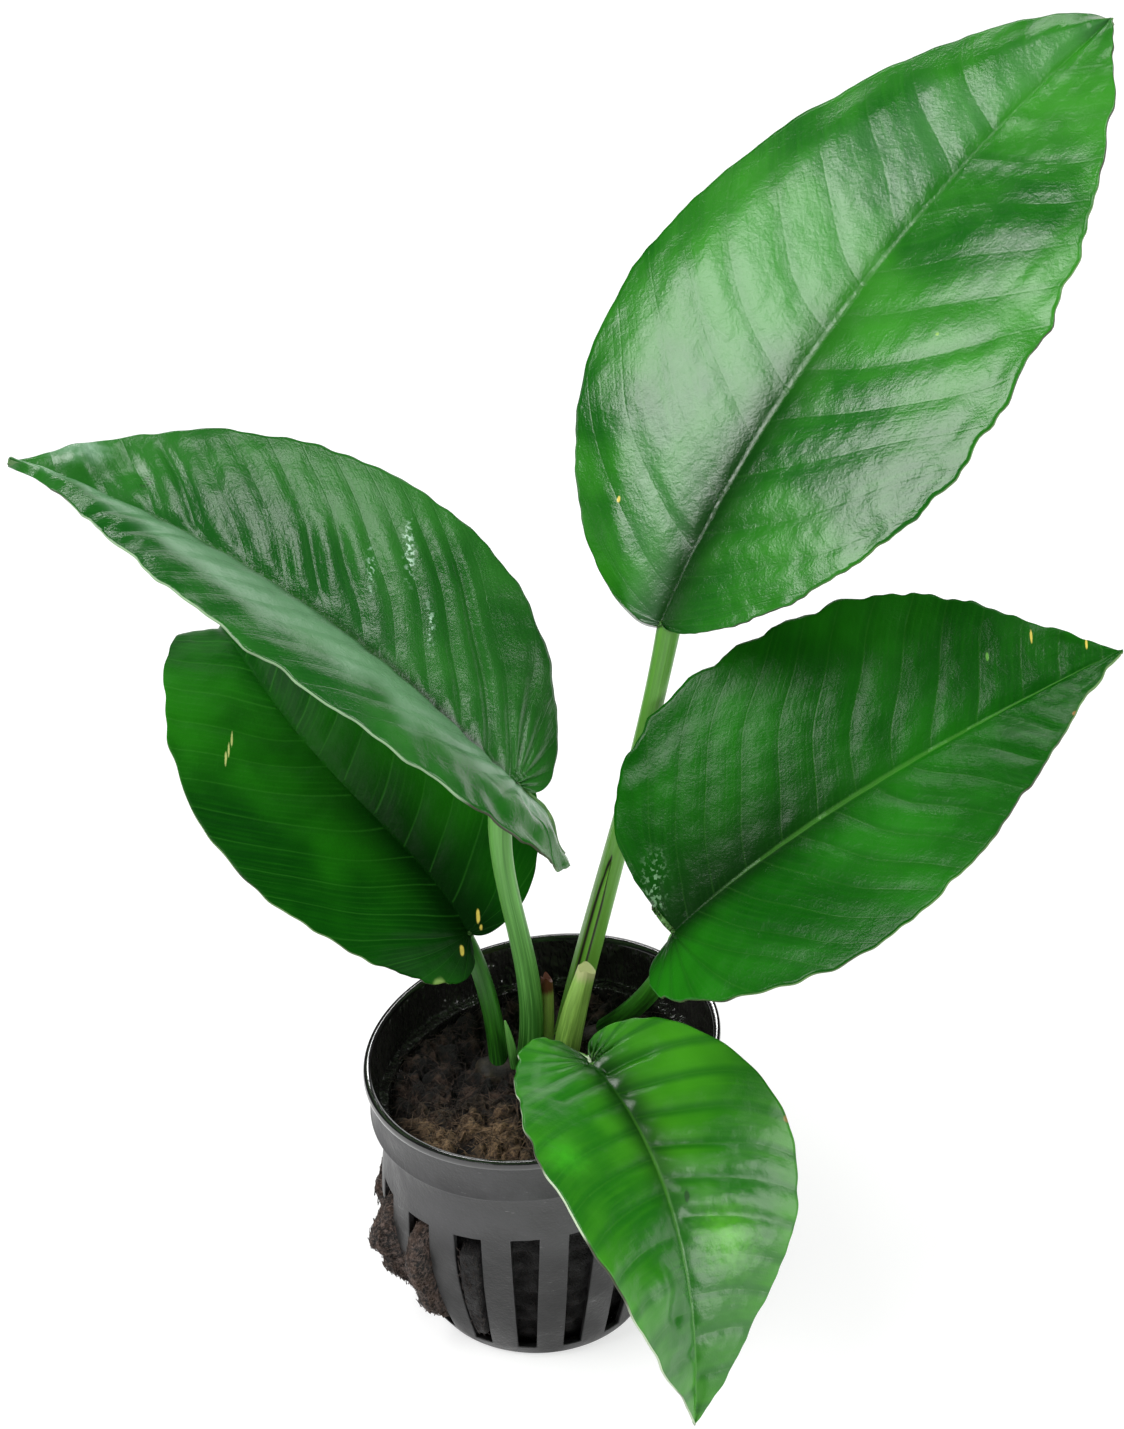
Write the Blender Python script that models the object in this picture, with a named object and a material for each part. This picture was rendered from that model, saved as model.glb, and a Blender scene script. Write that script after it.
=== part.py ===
"""Potted anubias: five leaves on a creeping rhizome, bedded in rock wool in a slotted plastic net pot.

The pot stands on its base at the origin, +Z is up and the front of the plant faces -Y. Lengths are in metres;
the dimensions below are given in millimetres times MM. Run it with: blender --background --python part.py
"""
import math
from dataclasses import dataclass
from math import comb

import bmesh
import bpy
from mathutils import Vector

MM = 0.001
GAP = 0.3 * MM

# Net pot
POT_HEIGHT = 47.8 * MM
BASE_RADIUS = 16.8 * MM
LIP_RADIUS = 27.0 * MM
COLLAR_RADIUS = 25.9 * MM
COLLAR_BOTTOM = 39.6 * MM
SHOULDER_RADIUS = 24.2 * MM
WALL = 1.0 * MM
FLOOR = 1.2 * MM
POT_STEPS = 48
SLOTS = 16
SLOT_BOTTOM = 2.5 * MM
SLOT_TOP = 29.0 * MM
SLOT_WIDTH_TOP = 4.4 * MM
SLOT_WIDTH_BOTTOM = 2.8 * MM
FRONT_SLOT = math.radians(-7.0)
WALL_HEIGHTS = (SLOT_BOTTOM, 9 * MM, 17 * MM, 27 * MM)
DRAINS = 8
DRAIN_WIDTH = 2.6 * MM
DRAIN_INNER = 7.0 * MM
DRAIN_OUTER = 14.0 * MM
# The soft pot has settled: above the slots its rings slope down to the left, and its mouth has moved to the right
RING_SLOPE = 0.12
MOUTH_SHIFT = 1.5 * MM
# The wool has pushed the left of the pot out: how far, up to what height, on what bearing and how far round
BULGE = 3.1 * MM
BULGE_TOP = 35.0 * MM
BULGE_RADIUS = 22.0 * MM
BULGE_BEARING = math.radians(-90.0)
BULGE_SPREAD = math.radians(80.0)

# Rock wool
WOOL_TOP = 40.2 * MM
WOOL_EDGE = 41.4 * MM
WOOL_GAP = 0.6 * MM
TUFT_SLOTS = {-4: 2.2 * MM, -3: 3.6 * MM, -2: 3.4 * MM, -1: 0.9 * MM}
TUFT_BOTTOM = 4.0 * MM
TUFT_TOP = 27.0 * MM
TOP_RINGS = 7

# Rhizome, its axis from the left end to the right end
RHIZOME_ENDS = ((-8.5, 4.2, 38.2), (14.5, 12.0, 38.9))
RHIZOME_RADIUS = 3.0 * MM
RHIZOME_KNOTS = 5
RHIZOME_GROOVE = 3.7 * MM

# Blades and stalks
BLADE_THICKNESS = 0.8 * MM
BLADE_STATIONS = 18
BLADE_ROWS = 4
STALK_POINTS = 12
STALK_FACETS = 2

PLASTIC = (0.035, 0.036, 0.038)
WOOL = (0.085, 0.052, 0.030)
LEAF = (0.035, 0.170, 0.018)
STALK = (0.090, 0.260, 0.045)
RHIZOME = (0.080, 0.070, 0.030)
STUB = (0.240, 0.330, 0.090)


@dataclass(frozen=True)
class Half:
    """One half of a blade, from the midrib to the margin: lengths in mm, angles in degrees."""

    width: float
    widest: float
    lobe: float
    base_fullness: float
    tip_fullness: float
    tip_slope: float
    fold: float
    curl_per_cm: float
    tip_blunt: float = 0.0


@dataclass(frozen=True)
class Leaf:
    """A blade on its stalk. The midrib's and the stalk's control points are in mm, base first."""

    name: str
    midrib: tuple
    roll: tuple
    left: Half
    right: Half
    stalk: tuple
    stalk_radii: tuple


LEAVES = (
    Leaf(
        name="upper_right",
        midrib=((20.5, 12, 115), (32.5, 22, 140.5), (56.5, 44, 163.5), (88, 60.5, 184.5)),
        roll=(-3, -8),
        left=Half(31.9, 0.38, 4.0, 0.72, 0.42, 0.141, 15.5, 2.3, 16.4),
        right=Half(32.0, 0.415, 1.6, 0.71, 0.60, 0.109, 9, 5.2, 6.5),
        stalk=((5.3, 11.1, 42.5), (10.4, 11.3, 64.7), (17.4, 11.6, 89.1), (21.6, 12.1, 113.4)),
        stalk_radii=(1.9, 2.2, 1.2, 1.75),
    ),
    Leaf(
        name="upper_left",
        midrib=((-1.6, 8, 90), (-18, 12, 111.6), (-41.5, 20, 129), (-72, 26, 136.8)),
        roll=(-2, 3),
        left=Half(27.3, 0.39, 18.0, 0.77, 0.53, 0.14, 23, 3.4),
        right=Half(27.8, 0.32, 7.2, 0.80, 0.50, 0.14, 24.5, 2.9),
        stalk=((-0.5, 6.4, 42.3), (2.5, 6.8, 58.7), (-5.7, 7.6, 72.7), (-2.0, 8.5, 87.9)),
        stalk_radii=(1.9, 1.8, 1.1, 2.0),
    ),
    Leaf(
        name="lower_left",
        midrib=((-8.8, 10, 61.6), (-18.7, 20, 80.3), (-42.2, 34, 76.1), (-45.3, 56, 102.6), (-48.9, 62, 78.9)),
        roll=(10.5, 5),
        left=Half(24.6, 0.355, 8.6, 0.78, 0.33, 0.15, 13, 4.6),
        right=Half(26.8, 0.375, 3.0, 0.77, 0.54, 0.15, 27.5, 3.4),
        stalk=((-5.0, 5.4, 41.9), (-5.2, 6.8, 48.0), (-6.8, 8.0, 55.0), (-9.7, 11.4, 60.5)),
        stalk_radii=(1.5, 1.4, 1.4, 1.2),
    ),
    Leaf(
        name="right",
        midrib=((21, -10.8, 76.7), (34.8, -8.9, 91), (57.7, -1.3, 101.4), (86.2, 6.3, 111.9)),
        roll=(-14.5, -6),
        left=Half(27.7, 0.365, -0.2, 1.15, 0.68, 0.15, 28.5, 0.63),
        right=Half(25.7, 0.33, 10.0, 0.735, 0.48, 0.14, 12.5, 6.0),
        stalk=((12.8, 11.3, 43.6), (16.9, 4.7, 51.1), (20.0, -4.1, 62.4), (21.0, -10.8, 73.9)),
        stalk_radii=(1.6, 1.6, 1.5, 1.5),
    ),
    Leaf(
        name="front",
        midrib=((8.8, -13, 54.6), (17.9, -26, 52.7), (23.8, -43, 40.9), (22, -50, 17.3)),
        roll=(-5, 56),
        left=Half(22.6, 0.365, 5.6, 0.77, 0.41, 0.15, 11.5, 2.3),
        right=Half(21.0, 0.375, 11.6, 0.77, 0.47, 0.14, 15, 3.4),
        stalk=((1.9, 2.9, 43.2), (1.6, -0.5, 46.5), (3.8, -6.4, 50.1), (7.2, -11.1, 53.2)),
        stalk_radii=(1.6, 1.5, 1.4, 1.3),
    ),
)

# The two cut stubs and the young sheath: a path's control points and its radii, in mm
STUB_THICK = (((5.3, 5.4, 42.8), (6.0, 5.3, 47.5), (7.3, 5.2, 52.5), (8.7, 5.4, 57.8)), (2.0, 2.1, 1.8, 1.35))
STUB_THIN = (((2.3, 8.1, 42.0), (2.5, 8.3, 46.0), (2.6, 8.5, 50.0), (2.6, 8.6, 53.6)), (1.0, 0.95, 0.9, 0.8))
YOUNG_SHEATH = (((-2.6, 3.6, 42.2), (-2.9, 3.8, 44), (-3.3, 4.0, 46.4), (-3.9, 4.4, 49)), (0.7, 0.75, 0.6, 0.15))


def clear_scene():
    """Remove whatever the scene holds."""
    for old in list(bpy.data.objects):
        bpy.data.objects.remove(old, do_unlink=True)


def finish(name, colour, roughness):
    """A material of one colour."""
    material = bpy.data.materials.new(name)
    material.use_nodes = True
    shader = material.node_tree.nodes["Principled BSDF"]
    shader.inputs["Base Color"].default_value = (*colour, 1.0)
    shader.inputs["Roughness"].default_value = roughness
    shader.inputs["Metallic"].default_value = 0.0
    return material


def add_object(name, data, material):
    """Put mesh or curve data in the scene as an object with its material."""
    data.materials.append(material)
    thing = bpy.data.objects.new(name, data)
    bpy.context.scene.collection.objects.link(thing)
    return thing


def mesh_of(bm, name, smooth_angle):
    """Turn a bmesh into mesh data with smooth shading up to an angle."""
    bmesh.ops.recalc_face_normals(bm, faces=bm.faces)
    mesh = bpy.data.meshes.new(name)
    bm.to_mesh(mesh)
    bm.free()
    mesh.shade_smooth()
    mesh.set_sharp_from_angle(angle=smooth_angle)
    return mesh


def bezier(points, share):
    """The point at a share of the way along a Bezier curve of any degree."""
    degree = len(points) - 1
    total = Vector((0.0, 0.0, 0.0))
    for index, point in enumerate(points):
        weight = comb(degree, index) * (1 - share) ** (degree - index) * share**index
        total += weight * Vector(point)
    return total


def settle(point):
    """Where a point of the round pot ends up in the settled pot."""
    rise = min(max(point.z / BULGE_TOP, 0.0), 1.0)
    bearing = math.atan2(point.x, -point.y)
    away = abs((bearing - BULGE_BEARING + math.pi) % (2 * math.pi) - math.pi)
    push = BULGE * math.sin(math.pi * rise) * math.cos(0.5 * math.pi * min(away / BULGE_SPREAD, 1.0))
    grow = 1.0 + push * math.hypot(point.x, point.y) / BULGE_RADIUS**2
    share = min(max(point.z / SLOT_TOP, 0.0), 1.0)
    shift = MOUTH_SHIFT * point.z / POT_HEIGHT
    return Vector((point.x * grow + shift, point.y * grow, point.z + point.x * RING_SLOPE * share))


def settle_mesh(bm):
    """Settle every vertex of a mesh."""
    for vert in bm.verts:
        vert.co = settle(vert.co)


def outer_radius(height):
    """The outside of the pot's slotted wall: it tapers, and turns in more towards the base."""
    share = min(max(height / COLLAR_BOTTOM, 0.0), 1.0)
    return BASE_RADIUS + (SHOULDER_RADIUS - BASE_RADIUS) * share**0.75


def inner_radius(height):
    """The inside of the slotted wall, which is straight between the heights in WALL_HEIGHTS."""
    corners = [(FLOOR, BASE_RADIUS - WALL)] + [(z, outer_radius(z) - WALL) for z in WALL_HEIGHTS]
    corners.append((COLLAR_BOTTOM + 0.8 * MM, SHOULDER_RADIUS - WALL))
    for (low, low_radius), (high, high_radius) in zip(corners, corners[1:]):
        if height <= high:
            return low_radius + (high_radius - low_radius) * (height - low) / (high - low)
    return corners[-1][1]


def pot_profile():
    """The pot's section as radius and height, from the centre of the base up the outside and back down the inside."""
    outside = [(0.0, 0.0), (BASE_RADIUS - 0.5 * MM, 0.0), (BASE_RADIUS, 0.5 * MM)]
    outside += [(outer_radius(z), z) for z in WALL_HEIGHTS]
    collar = [
        (SHOULDER_RADIUS, COLLAR_BOTTOM - 0.4 * MM),
        (COLLAR_RADIUS, COLLAR_BOTTOM),
        (LIP_RADIUS - 0.5 * MM, POT_HEIGHT - 1.1 * MM),
        (LIP_RADIUS, POT_HEIGHT - 0.9 * MM),
        (LIP_RADIUS, POT_HEIGHT - 0.3 * MM),
        (LIP_RADIUS - 0.3 * MM, POT_HEIGHT),
        (LIP_RADIUS - 1.1 * MM, POT_HEIGHT),
        (LIP_RADIUS - 1.5 * MM, POT_HEIGHT - 1.2 * MM),
        (COLLAR_RADIUS - 1.0 * MM, COLLAR_BOTTOM + 1.2 * MM),
        (SHOULDER_RADIUS - WALL, COLLAR_BOTTOM + 0.8 * MM),
    ]
    inside = [(outer_radius(z) - WALL, z) for z in reversed(WALL_HEIGHTS)]
    return outside + collar + inside + [(BASE_RADIUS - WALL, FLOOR), (0.0, FLOOR)]


def turned(profile, steps):
    """A closed solid turned from a section about the Z axis."""
    bm = bmesh.new()
    verts = [bm.verts.new((radius, 0.0, height)) for radius, height in profile]
    for first, second in zip(verts, verts[1:]):
        bm.edges.new((first, second))
    bmesh.ops.spin(
        bm,
        geom=bm.verts[:] + bm.edges[:],
        cent=(0, 0, 0),
        axis=(0, 0, 1),
        angle=2 * math.pi,
        steps=steps,
        use_merge=True,
    )
    bmesh.ops.remove_doubles(bm, verts=bm.verts, dist=1e-6)
    return bm


def slot_centre(index):
    """The bearing of a slot, counted from the one nearest the front and measured from -Y towards +X."""
    return FRONT_SLOT + index * 2 * math.pi / SLOTS


def slot_half_width(height):
    """Half a slot's width at a height."""
    share = (height - SLOT_BOTTOM) / (SLOT_TOP - SLOT_BOTTOM)
    return 0.5 * (SLOT_WIDTH_BOTTOM + (SLOT_WIDTH_TOP - SLOT_WIDTH_BOTTOM) * share)


def outward(bearing):
    """The horizontal direction of a bearing, and the direction along the ring there."""
    radial = Vector((math.sin(bearing), -math.cos(bearing), 0.0))
    along = Vector((math.cos(bearing), math.sin(bearing), 0.0))
    return radial, along


def add_block(bm, bearing, radii, heights, half_widths):
    """Add a block that points outward on a bearing: it may be wider at its upper end than at its lower end."""
    radial, along = outward(bearing)
    cube = bmesh.ops.create_cube(bm, size=2.0)["verts"]
    for vert in cube:
        upper = vert.co.z > 0
        reach = radii[1] if vert.co.y > 0 else radii[0]
        side = vert.co.x * half_widths[1 if upper else 0]
        vert.co = radial * reach + along * side + Vector((0, 0, heights[1 if upper else 0]))


def cutters(name):
    """The blocks that cut the slots in the wall and the drains in the floor."""
    bm = bmesh.new()
    for index in range(SLOTS):
        add_block(
            bm,
            slot_centre(index),
            (BASE_RADIUS - 3 * WALL, LIP_RADIUS + 2 * WALL),
            (SLOT_BOTTOM, SLOT_TOP),
            (slot_half_width(SLOT_BOTTOM), slot_half_width(SLOT_TOP)),
        )
    for index in range(DRAINS):
        width = 0.5 * DRAIN_WIDTH
        add_block(
            bm,
            slot_centre(2 * index),
            (DRAIN_INNER, DRAIN_OUTER),
            (-FLOOR, 1.5 * FLOOR),
            (width, width),
        )
    settle_mesh(bm)
    cutter = bpy.data.objects.new(name, mesh_of(bm, name, 0.5))
    bpy.context.scene.collection.objects.link(cutter)
    cutter.hide_render = True
    cutter.display_type = "WIRE"
    return cutter


def cut(target, cutter):
    """Take a cutter's shape out of an object."""
    modifier = target.modifiers.new("Cut", "BOOLEAN")
    modifier.operation = "DIFFERENCE"
    modifier.solver = "EXACT"
    modifier.object = cutter


def build_pot():
    """The net pot, slotted and settled."""
    bm = turned(pot_profile(), POT_STEPS)
    settle_mesh(bm)
    pot = add_object("net_pot", mesh_of(bm, "net_pot", math.radians(40)), finish("pot_plastic", PLASTIC, 0.45))
    cut(pot, cutters("slot_cutters"))


def tuft_reach(index, height):
    """How far the wool stands out of a slot at a height, measured from the pot's outside."""
    bulge = TUFT_SLOTS.get(index, 0.0)
    share = (height - TUFT_BOTTOM) / (TUFT_TOP - TUFT_BOTTOM)
    if bulge == 0.0 or share <= 0.0 or share >= 1.0:
        return None
    lean = math.sin(math.pi * share**0.8)
    lumps = 0.75 + 0.25 * math.sin(3 * math.pi * share + index)
    return bulge * lean * lumps


def wool_lines():
    """The bearings of the wool's upright lines: slot number, shift along the ring as a share, and if it bulges."""
    lines = []
    for index in range(-SLOTS // 2, SLOTS // 2):
        if index in TUFT_SLOTS:
            lines += [(index, -1.0, False), (index, -0.72, True), (index, 0.0, True)]
            lines += [(index, 0.72, True), (index, 1.0, False)]
        else:
            lines.append((index, 0.0, False))
        lines.append((index + 0.5, 0.0, False))
    return lines


def wool_surface(x, y):
    """The height of the wool's lumpy top."""
    wave = math.sin(0.42 * x / MM + 1.0) * math.cos(0.36 * y / MM - 0.6)
    ripple = math.sin(0.81 * x / MM + 0.55 * y / MM)
    return WOOL_TOP + (0.7 * wave + 0.4 * ripple) * MM


def build_wool():
    """The rock wool: a plug with tufts out through some slots, a lumpy top and a groove for the rhizome."""
    bm = bmesh.new()
    lines = wool_lines()
    heights = [FLOOR + WOOL_GAP, SLOT_BOTTOM + 2 * GAP, 7 * MM, 11 * MM, 15 * MM, 19 * MM, 23 * MM, 27.5 * MM]
    rows = []
    for height in heights:
        inside = inner_radius(height) - WOOL_GAP
        row = []
        for index, shift, bulges in lines:
            reach = tuft_reach(index, height) if bulges else None
            radial, along = outward(slot_centre(index))
            room = slot_half_width(height) - 1.8 * GAP
            spot = radial * (inside if reach is None else outer_radius(height) + reach) + along * shift * room
            row.append(bm.verts.new(spot + Vector((0, 0, height))))
        rows.append(row)
    shoulder = SHOULDER_RADIUS - WALL - WOOL_GAP
    edge = [(shoulder, COLLAR_BOTTOM), (shoulder, COLLAR_BOTTOM + 0.9 * MM)]
    for radius, height in edge:
        rows.append([bm.verts.new(outward(slot_centre(i))[0] * radius + Vector((0, 0, height))) for i, _, _ in lines])
    for ring in range(TOP_RINGS):
        radius = (COLLAR_RADIUS - 2.0 * MM) * (1 - ring / TOP_RINGS)
        row = []
        for index, shift, _ in lines:
            radial = outward(slot_centre(index) + 0.06 * shift)[0] * radius
            height = WOOL_EDGE + (wool_surface(radial.x, radial.y) - WOOL_EDGE) * min(ring / 2, 1.0)
            row.append(bm.verts.new(radial + Vector((0, 0, height))))
        rows.append(row)
    for lower, upper in zip(rows, rows[1:]):
        for i, vert in enumerate(lower):
            j = (i + 1) % len(lower)
            bm.faces.new((vert, lower[j], upper[j], upper[i]))
    bm.faces.new(list(reversed(rows[0])))
    crown = bm.verts.new((0, 0, wool_surface(0, 0)))
    for i, vert in enumerate(rows[-1]):
        bm.faces.new((vert, rows[-1][(i + 1) % len(lines)], crown))
    bmesh.ops.remove_doubles(bm, verts=bm.verts, dist=1e-6)
    settle_mesh(bm)
    wool = add_object("rock_wool", mesh_of(bm, "rock_wool", math.radians(60)), finish("wool", WOOL, 0.95))
    cut(wool, groove_cutter("rhizome_groove"))


def tube(name, path):
    """A curve object whose round section follows a list of points and radii, with its ends filled."""
    data = bpy.data.curves.new(name, "CURVE")
    data.dimensions = "3D"
    data.bevel_depth = 1.0
    data.bevel_resolution = STALK_FACETS
    data.use_fill_caps = True
    spline = data.splines.new("POLY")
    spline.points.add(len(path) - 1)
    for target, (point, radius) in zip(spline.points, path):
        target.co = (*point, 1.0)
        target.radius = radius
    thing = bpy.data.objects.new(name, data)
    bpy.context.scene.collection.objects.link(thing)
    return thing


def rhizome_path(radius, longer):
    """The rhizome's axis with its knotty radius, or that of its groove."""
    start, end = (Vector(p) * MM for p in RHIZOME_ENDS)
    along = (end - start).normalized()
    start -= along * longer
    end += along * longer
    count = 3 * RHIZOME_KNOTS + 1
    path = []
    for step in range(count):
        share = step / (count - 1)
        knot = 1.0 + 0.07 * math.cos(2 * math.pi * RHIZOME_KNOTS * share) if longer == 0.0 else 1.0
        end_round = 0.62 if step in (0, count - 1) else 1.0
        path.append((start.lerp(end, share), radius * knot * end_round))
    return path


def groove_cutter(name):
    """The blank that presses the rhizome's groove into the wool."""
    pattern = tube(name + "_line", rhizome_path(RHIZOME_GROOVE, 1.0 * MM))
    graph = bpy.context.evaluated_depsgraph_get()
    mesh = bpy.data.meshes.new_from_object(pattern.evaluated_get(graph))
    bpy.data.objects.remove(pattern, do_unlink=True)
    bm = bmesh.new()
    bm.from_mesh(mesh)
    bmesh.ops.remove_doubles(bm, verts=bm.verts, dist=1e-6)
    blank = bpy.data.objects.new(name, mesh_of(bm, name, 0.5))
    bpy.context.scene.collection.objects.link(blank)
    blank.hide_render = True
    blank.display_type = "WIRE"
    return blank


def build_rhizome():
    """The rhizome, ringed by the scars of old leaves."""
    rhizome = tube("rhizome", rhizome_path(RHIZOME_RADIUS, 0.0))
    rhizome.data.materials.append(finish("rhizome_bark", RHIZOME, 0.7))


def stalk_path(points, radii):
    """Points and radii along a stalk, from its control points and its radii in mm."""
    path = []
    for step in range(STALK_POINTS):
        share = step / (STALK_POINTS - 1)
        radius = bezier([(r, 0, 0) for r in radii], share).x * MM
        path.append((bezier(points, share) * MM, radius))
    return path


def build_stalk(name, points, radii, material):
    """A leaf stalk or a stub as a tapering tube."""
    stalk = tube(name, stalk_path(points, radii))
    stalk.data.materials.append(material)


class Midrib:
    """The line that a blade is bent along, with the blade's side and face directions at each distance."""

    SAMPLES = 120

    def __init__(self, leaf):
        """Measure the midrib's length."""
        self.points = leaf.midrib
        self.roll = leaf.roll
        self.stops = [0.0]
        last = bezier(self.points, 0.0)
        for step in range(1, self.SAMPLES + 1):
            here = bezier(self.points, step / self.SAMPLES)
            self.stops.append(self.stops[-1] + (here - last).length)
            last = here
        self.length = self.stops[-1]

    def share_at(self, distance):
        """The curve's parameter at a distance along it."""
        for step in range(self.SAMPLES):
            low, high = self.stops[step], self.stops[step + 1]
            if distance <= high:
                return (step + (distance - low) / (high - low)) / self.SAMPLES
        return 1.0

    def frame(self, distance):
        """The midrib's point at a distance, its direction, and the blade's side and face directions, in mm."""
        inside = min(max(distance, 0.0), self.length)
        share = self.share_at(inside)
        nudge = 1e-4
        low, high = max(share - nudge, 0.0), min(share + nudge, 1.0)
        along = (bezier(self.points, high) - bezier(self.points, low)).normalized()
        side = along.cross(Vector((0, 0, 1))).normalized()
        face = side.cross(along)
        turn = math.radians(self.roll[0] + (self.roll[1] - self.roll[0]) * inside / self.length)
        point = bezier(self.points, share) + along * (distance - inside)
        turned_side = side * math.cos(turn) + face * math.sin(turn)
        turned_face = face * math.cos(turn) - side * math.sin(turn)
        return point, along, turned_side, turned_face


def margin(half, length, share):
    """A point of the flat blade's margin, as distances along and beside the midrib.

    The first half of the way goes from the stalk round the lobe to the widest place, the second on to the tip.
    """
    widest = half.widest * length
    if share < 0.5:
        points = (
            (0, 0, 0),
            (-1.9 * half.lobe, 0.12 * half.width, 0),
            (widest * (1 - half.base_fullness), half.width, 0),
            (widest, half.width, 0),
        )
        spot = bezier(points, 2 * share)
    else:
        points = (
            (widest, half.width, 0),
            (widest + half.tip_fullness * (length - widest), half.width, 0),
            (length * (1 - half.tip_slope) + half.tip_blunt, 2.0 * half.width * half.tip_slope, 0),
            (length, 0, 0),
        )
        spot = bezier(points, 2 * share - 1)
    return spot.x, spot.y


def on_blade(midrib, half, sign, along, beside):
    """The place in space of a point of the flat blade: the half is folded up and curls over as it goes out."""
    point, _, side, face = midrib.frame(along)
    fold = math.radians(half.fold)
    curl = math.radians(half.curl_per_cm) / 10
    angle = fold - curl * beside
    out = (math.sin(fold) - math.sin(angle)) / curl
    up = (math.cos(angle) - math.cos(fold)) / curl
    return (point + sign * side * out + face * up) * MM


def build_blade(leaf, material):
    """A blade as a thin sheet: rows of veins run from the midrib to the margin, and Solidify gives it its wall."""
    midrib = Midrib(leaf)
    bm = bmesh.new()
    for sign, half in ((-1, leaf.left), (1, leaf.right)):
        rows = []
        for station in range(BLADE_STATIONS + 1):
            share = station / BLADE_STATIONS
            out_x, out_y = margin(half, midrib.length, share)
            origin = midrib.length * max(0.0, share - 0.14) / 0.86
            row = []
            for step in range(BLADE_ROWS + 1):
                across = step / BLADE_ROWS
                x = origin + (out_x - origin) * across**1.5
                row.append(bm.verts.new(on_blade(midrib, half, sign, x, out_y * across)))
            rows.append(row)
        for lower, upper in zip(rows, rows[1:]):
            for step in range(BLADE_ROWS):
                corners = (lower[step], lower[step + 1], upper[step + 1], upper[step])
                bm.faces.new(corners if sign < 0 else tuple(reversed(corners)))
    bmesh.ops.remove_doubles(bm, verts=bm.verts, dist=0.02 * MM)
    name = "leaf_" + leaf.name
    blade = add_object(name, mesh_of(bm, name, math.radians(50)), material)
    wall = blade.modifiers.new("Wall", "SOLIDIFY")
    wall.thickness = BLADE_THICKNESS
    wall.offset = 0.0
    wall.use_rim = True


def main():
    """Build every piece."""
    clear_scene()
    build_pot()
    build_wool()
    build_rhizome()
    blade_finish = finish("leaf_green", LEAF, 0.35)
    stalk_finish = finish("stalk_green", STALK, 0.4)
    for leaf in LEAVES:
        build_blade(leaf, blade_finish)
        build_stalk("stalk_" + leaf.name, leaf.stalk, leaf.stalk_radii, stalk_finish)
    stub_finish = finish("stub_green", STUB, 0.5)
    build_stalk("stub_thick", *STUB_THICK, stub_finish)
    build_stalk("stub_thin", *STUB_THIN, stub_finish)
    build_stalk("young_sheath", *YOUNG_SHEATH, stalk_finish)


main()
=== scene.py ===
"""Dress the potted anubias: a broad-leaved water plant in a slotted net pot filled with rock wool.

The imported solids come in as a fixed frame. Each of them is replaced by a finer piece of the same place and size:
blades that swell between their veins, ribbed stalks, a pot with rounded slots, and fibrous wool. Lengths in the
dataclasses are in millimetres and angles in degrees, unless a field says otherwise.
"""
from __future__ import annotations

import logging
import math
import random
from dataclasses import dataclass
from enum import Enum
from math import comb
from typing import Sequence

import bmesh
import bpy
import numpy as np
from mathutils import Matrix, Vector

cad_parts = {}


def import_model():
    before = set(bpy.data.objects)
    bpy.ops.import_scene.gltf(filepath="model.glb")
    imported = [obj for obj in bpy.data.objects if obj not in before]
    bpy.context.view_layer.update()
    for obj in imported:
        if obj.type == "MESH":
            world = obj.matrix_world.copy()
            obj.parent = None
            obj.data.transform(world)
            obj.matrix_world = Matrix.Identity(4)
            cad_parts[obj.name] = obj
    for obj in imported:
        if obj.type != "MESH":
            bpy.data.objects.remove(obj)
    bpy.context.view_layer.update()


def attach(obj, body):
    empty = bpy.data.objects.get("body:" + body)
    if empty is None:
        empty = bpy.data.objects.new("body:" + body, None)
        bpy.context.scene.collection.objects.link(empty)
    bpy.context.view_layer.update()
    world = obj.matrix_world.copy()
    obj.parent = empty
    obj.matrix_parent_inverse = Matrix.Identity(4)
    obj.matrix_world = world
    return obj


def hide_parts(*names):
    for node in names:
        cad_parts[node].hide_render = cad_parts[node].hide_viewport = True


LOG = logging.getLogger("anubias")
MM = 0.001
ROOT = "root"

Point = tuple[float, float, float]
Colour = tuple[float, float, float]
Socket = bpy.types.NodeSocket


# ---------------------------------------------------------------- shared shapes


def ramp(low: float, high: float, value: np.ndarray) -> np.ndarray:
    """Rise smoothly from 0 at low to 1 at high.

    Args:
        low: Where the rise begins.
        high: Where the rise ends.
        value: The numbers to place on the rise.

    Returns:
        The height of the rise for each number.
    """
    share = np.clip((value - low) / (high - low), 0.0, 1.0)
    return share * share * (3.0 - 2.0 * share)


def bezier(points: Sequence[Sequence[float]], share: np.ndarray) -> np.ndarray:
    """Points on a Bezier curve of any degree.

    Args:
        points: The control points.
        share: How far along the curve, from 0 to 1.

    Returns:
        One row for each share.
    """
    control = np.asarray(points, float)
    degree = len(control) - 1
    weights = [comb(degree, i) * (1 - share) ** (degree - i) * share**i for i in range(degree + 1)]
    return np.stack(weights, axis=-1) @ control


def unit(rows: np.ndarray) -> np.ndarray:
    """Scale each row to a length of one."""
    return rows / np.linalg.norm(rows, axis=-1, keepdims=True)


def travelled(line: np.ndarray) -> np.ndarray:
    """How far along a line each of its points lies."""
    return np.concatenate([[0.0], np.cumsum(np.linalg.norm(np.diff(line, axis=0), axis=1))])


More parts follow.
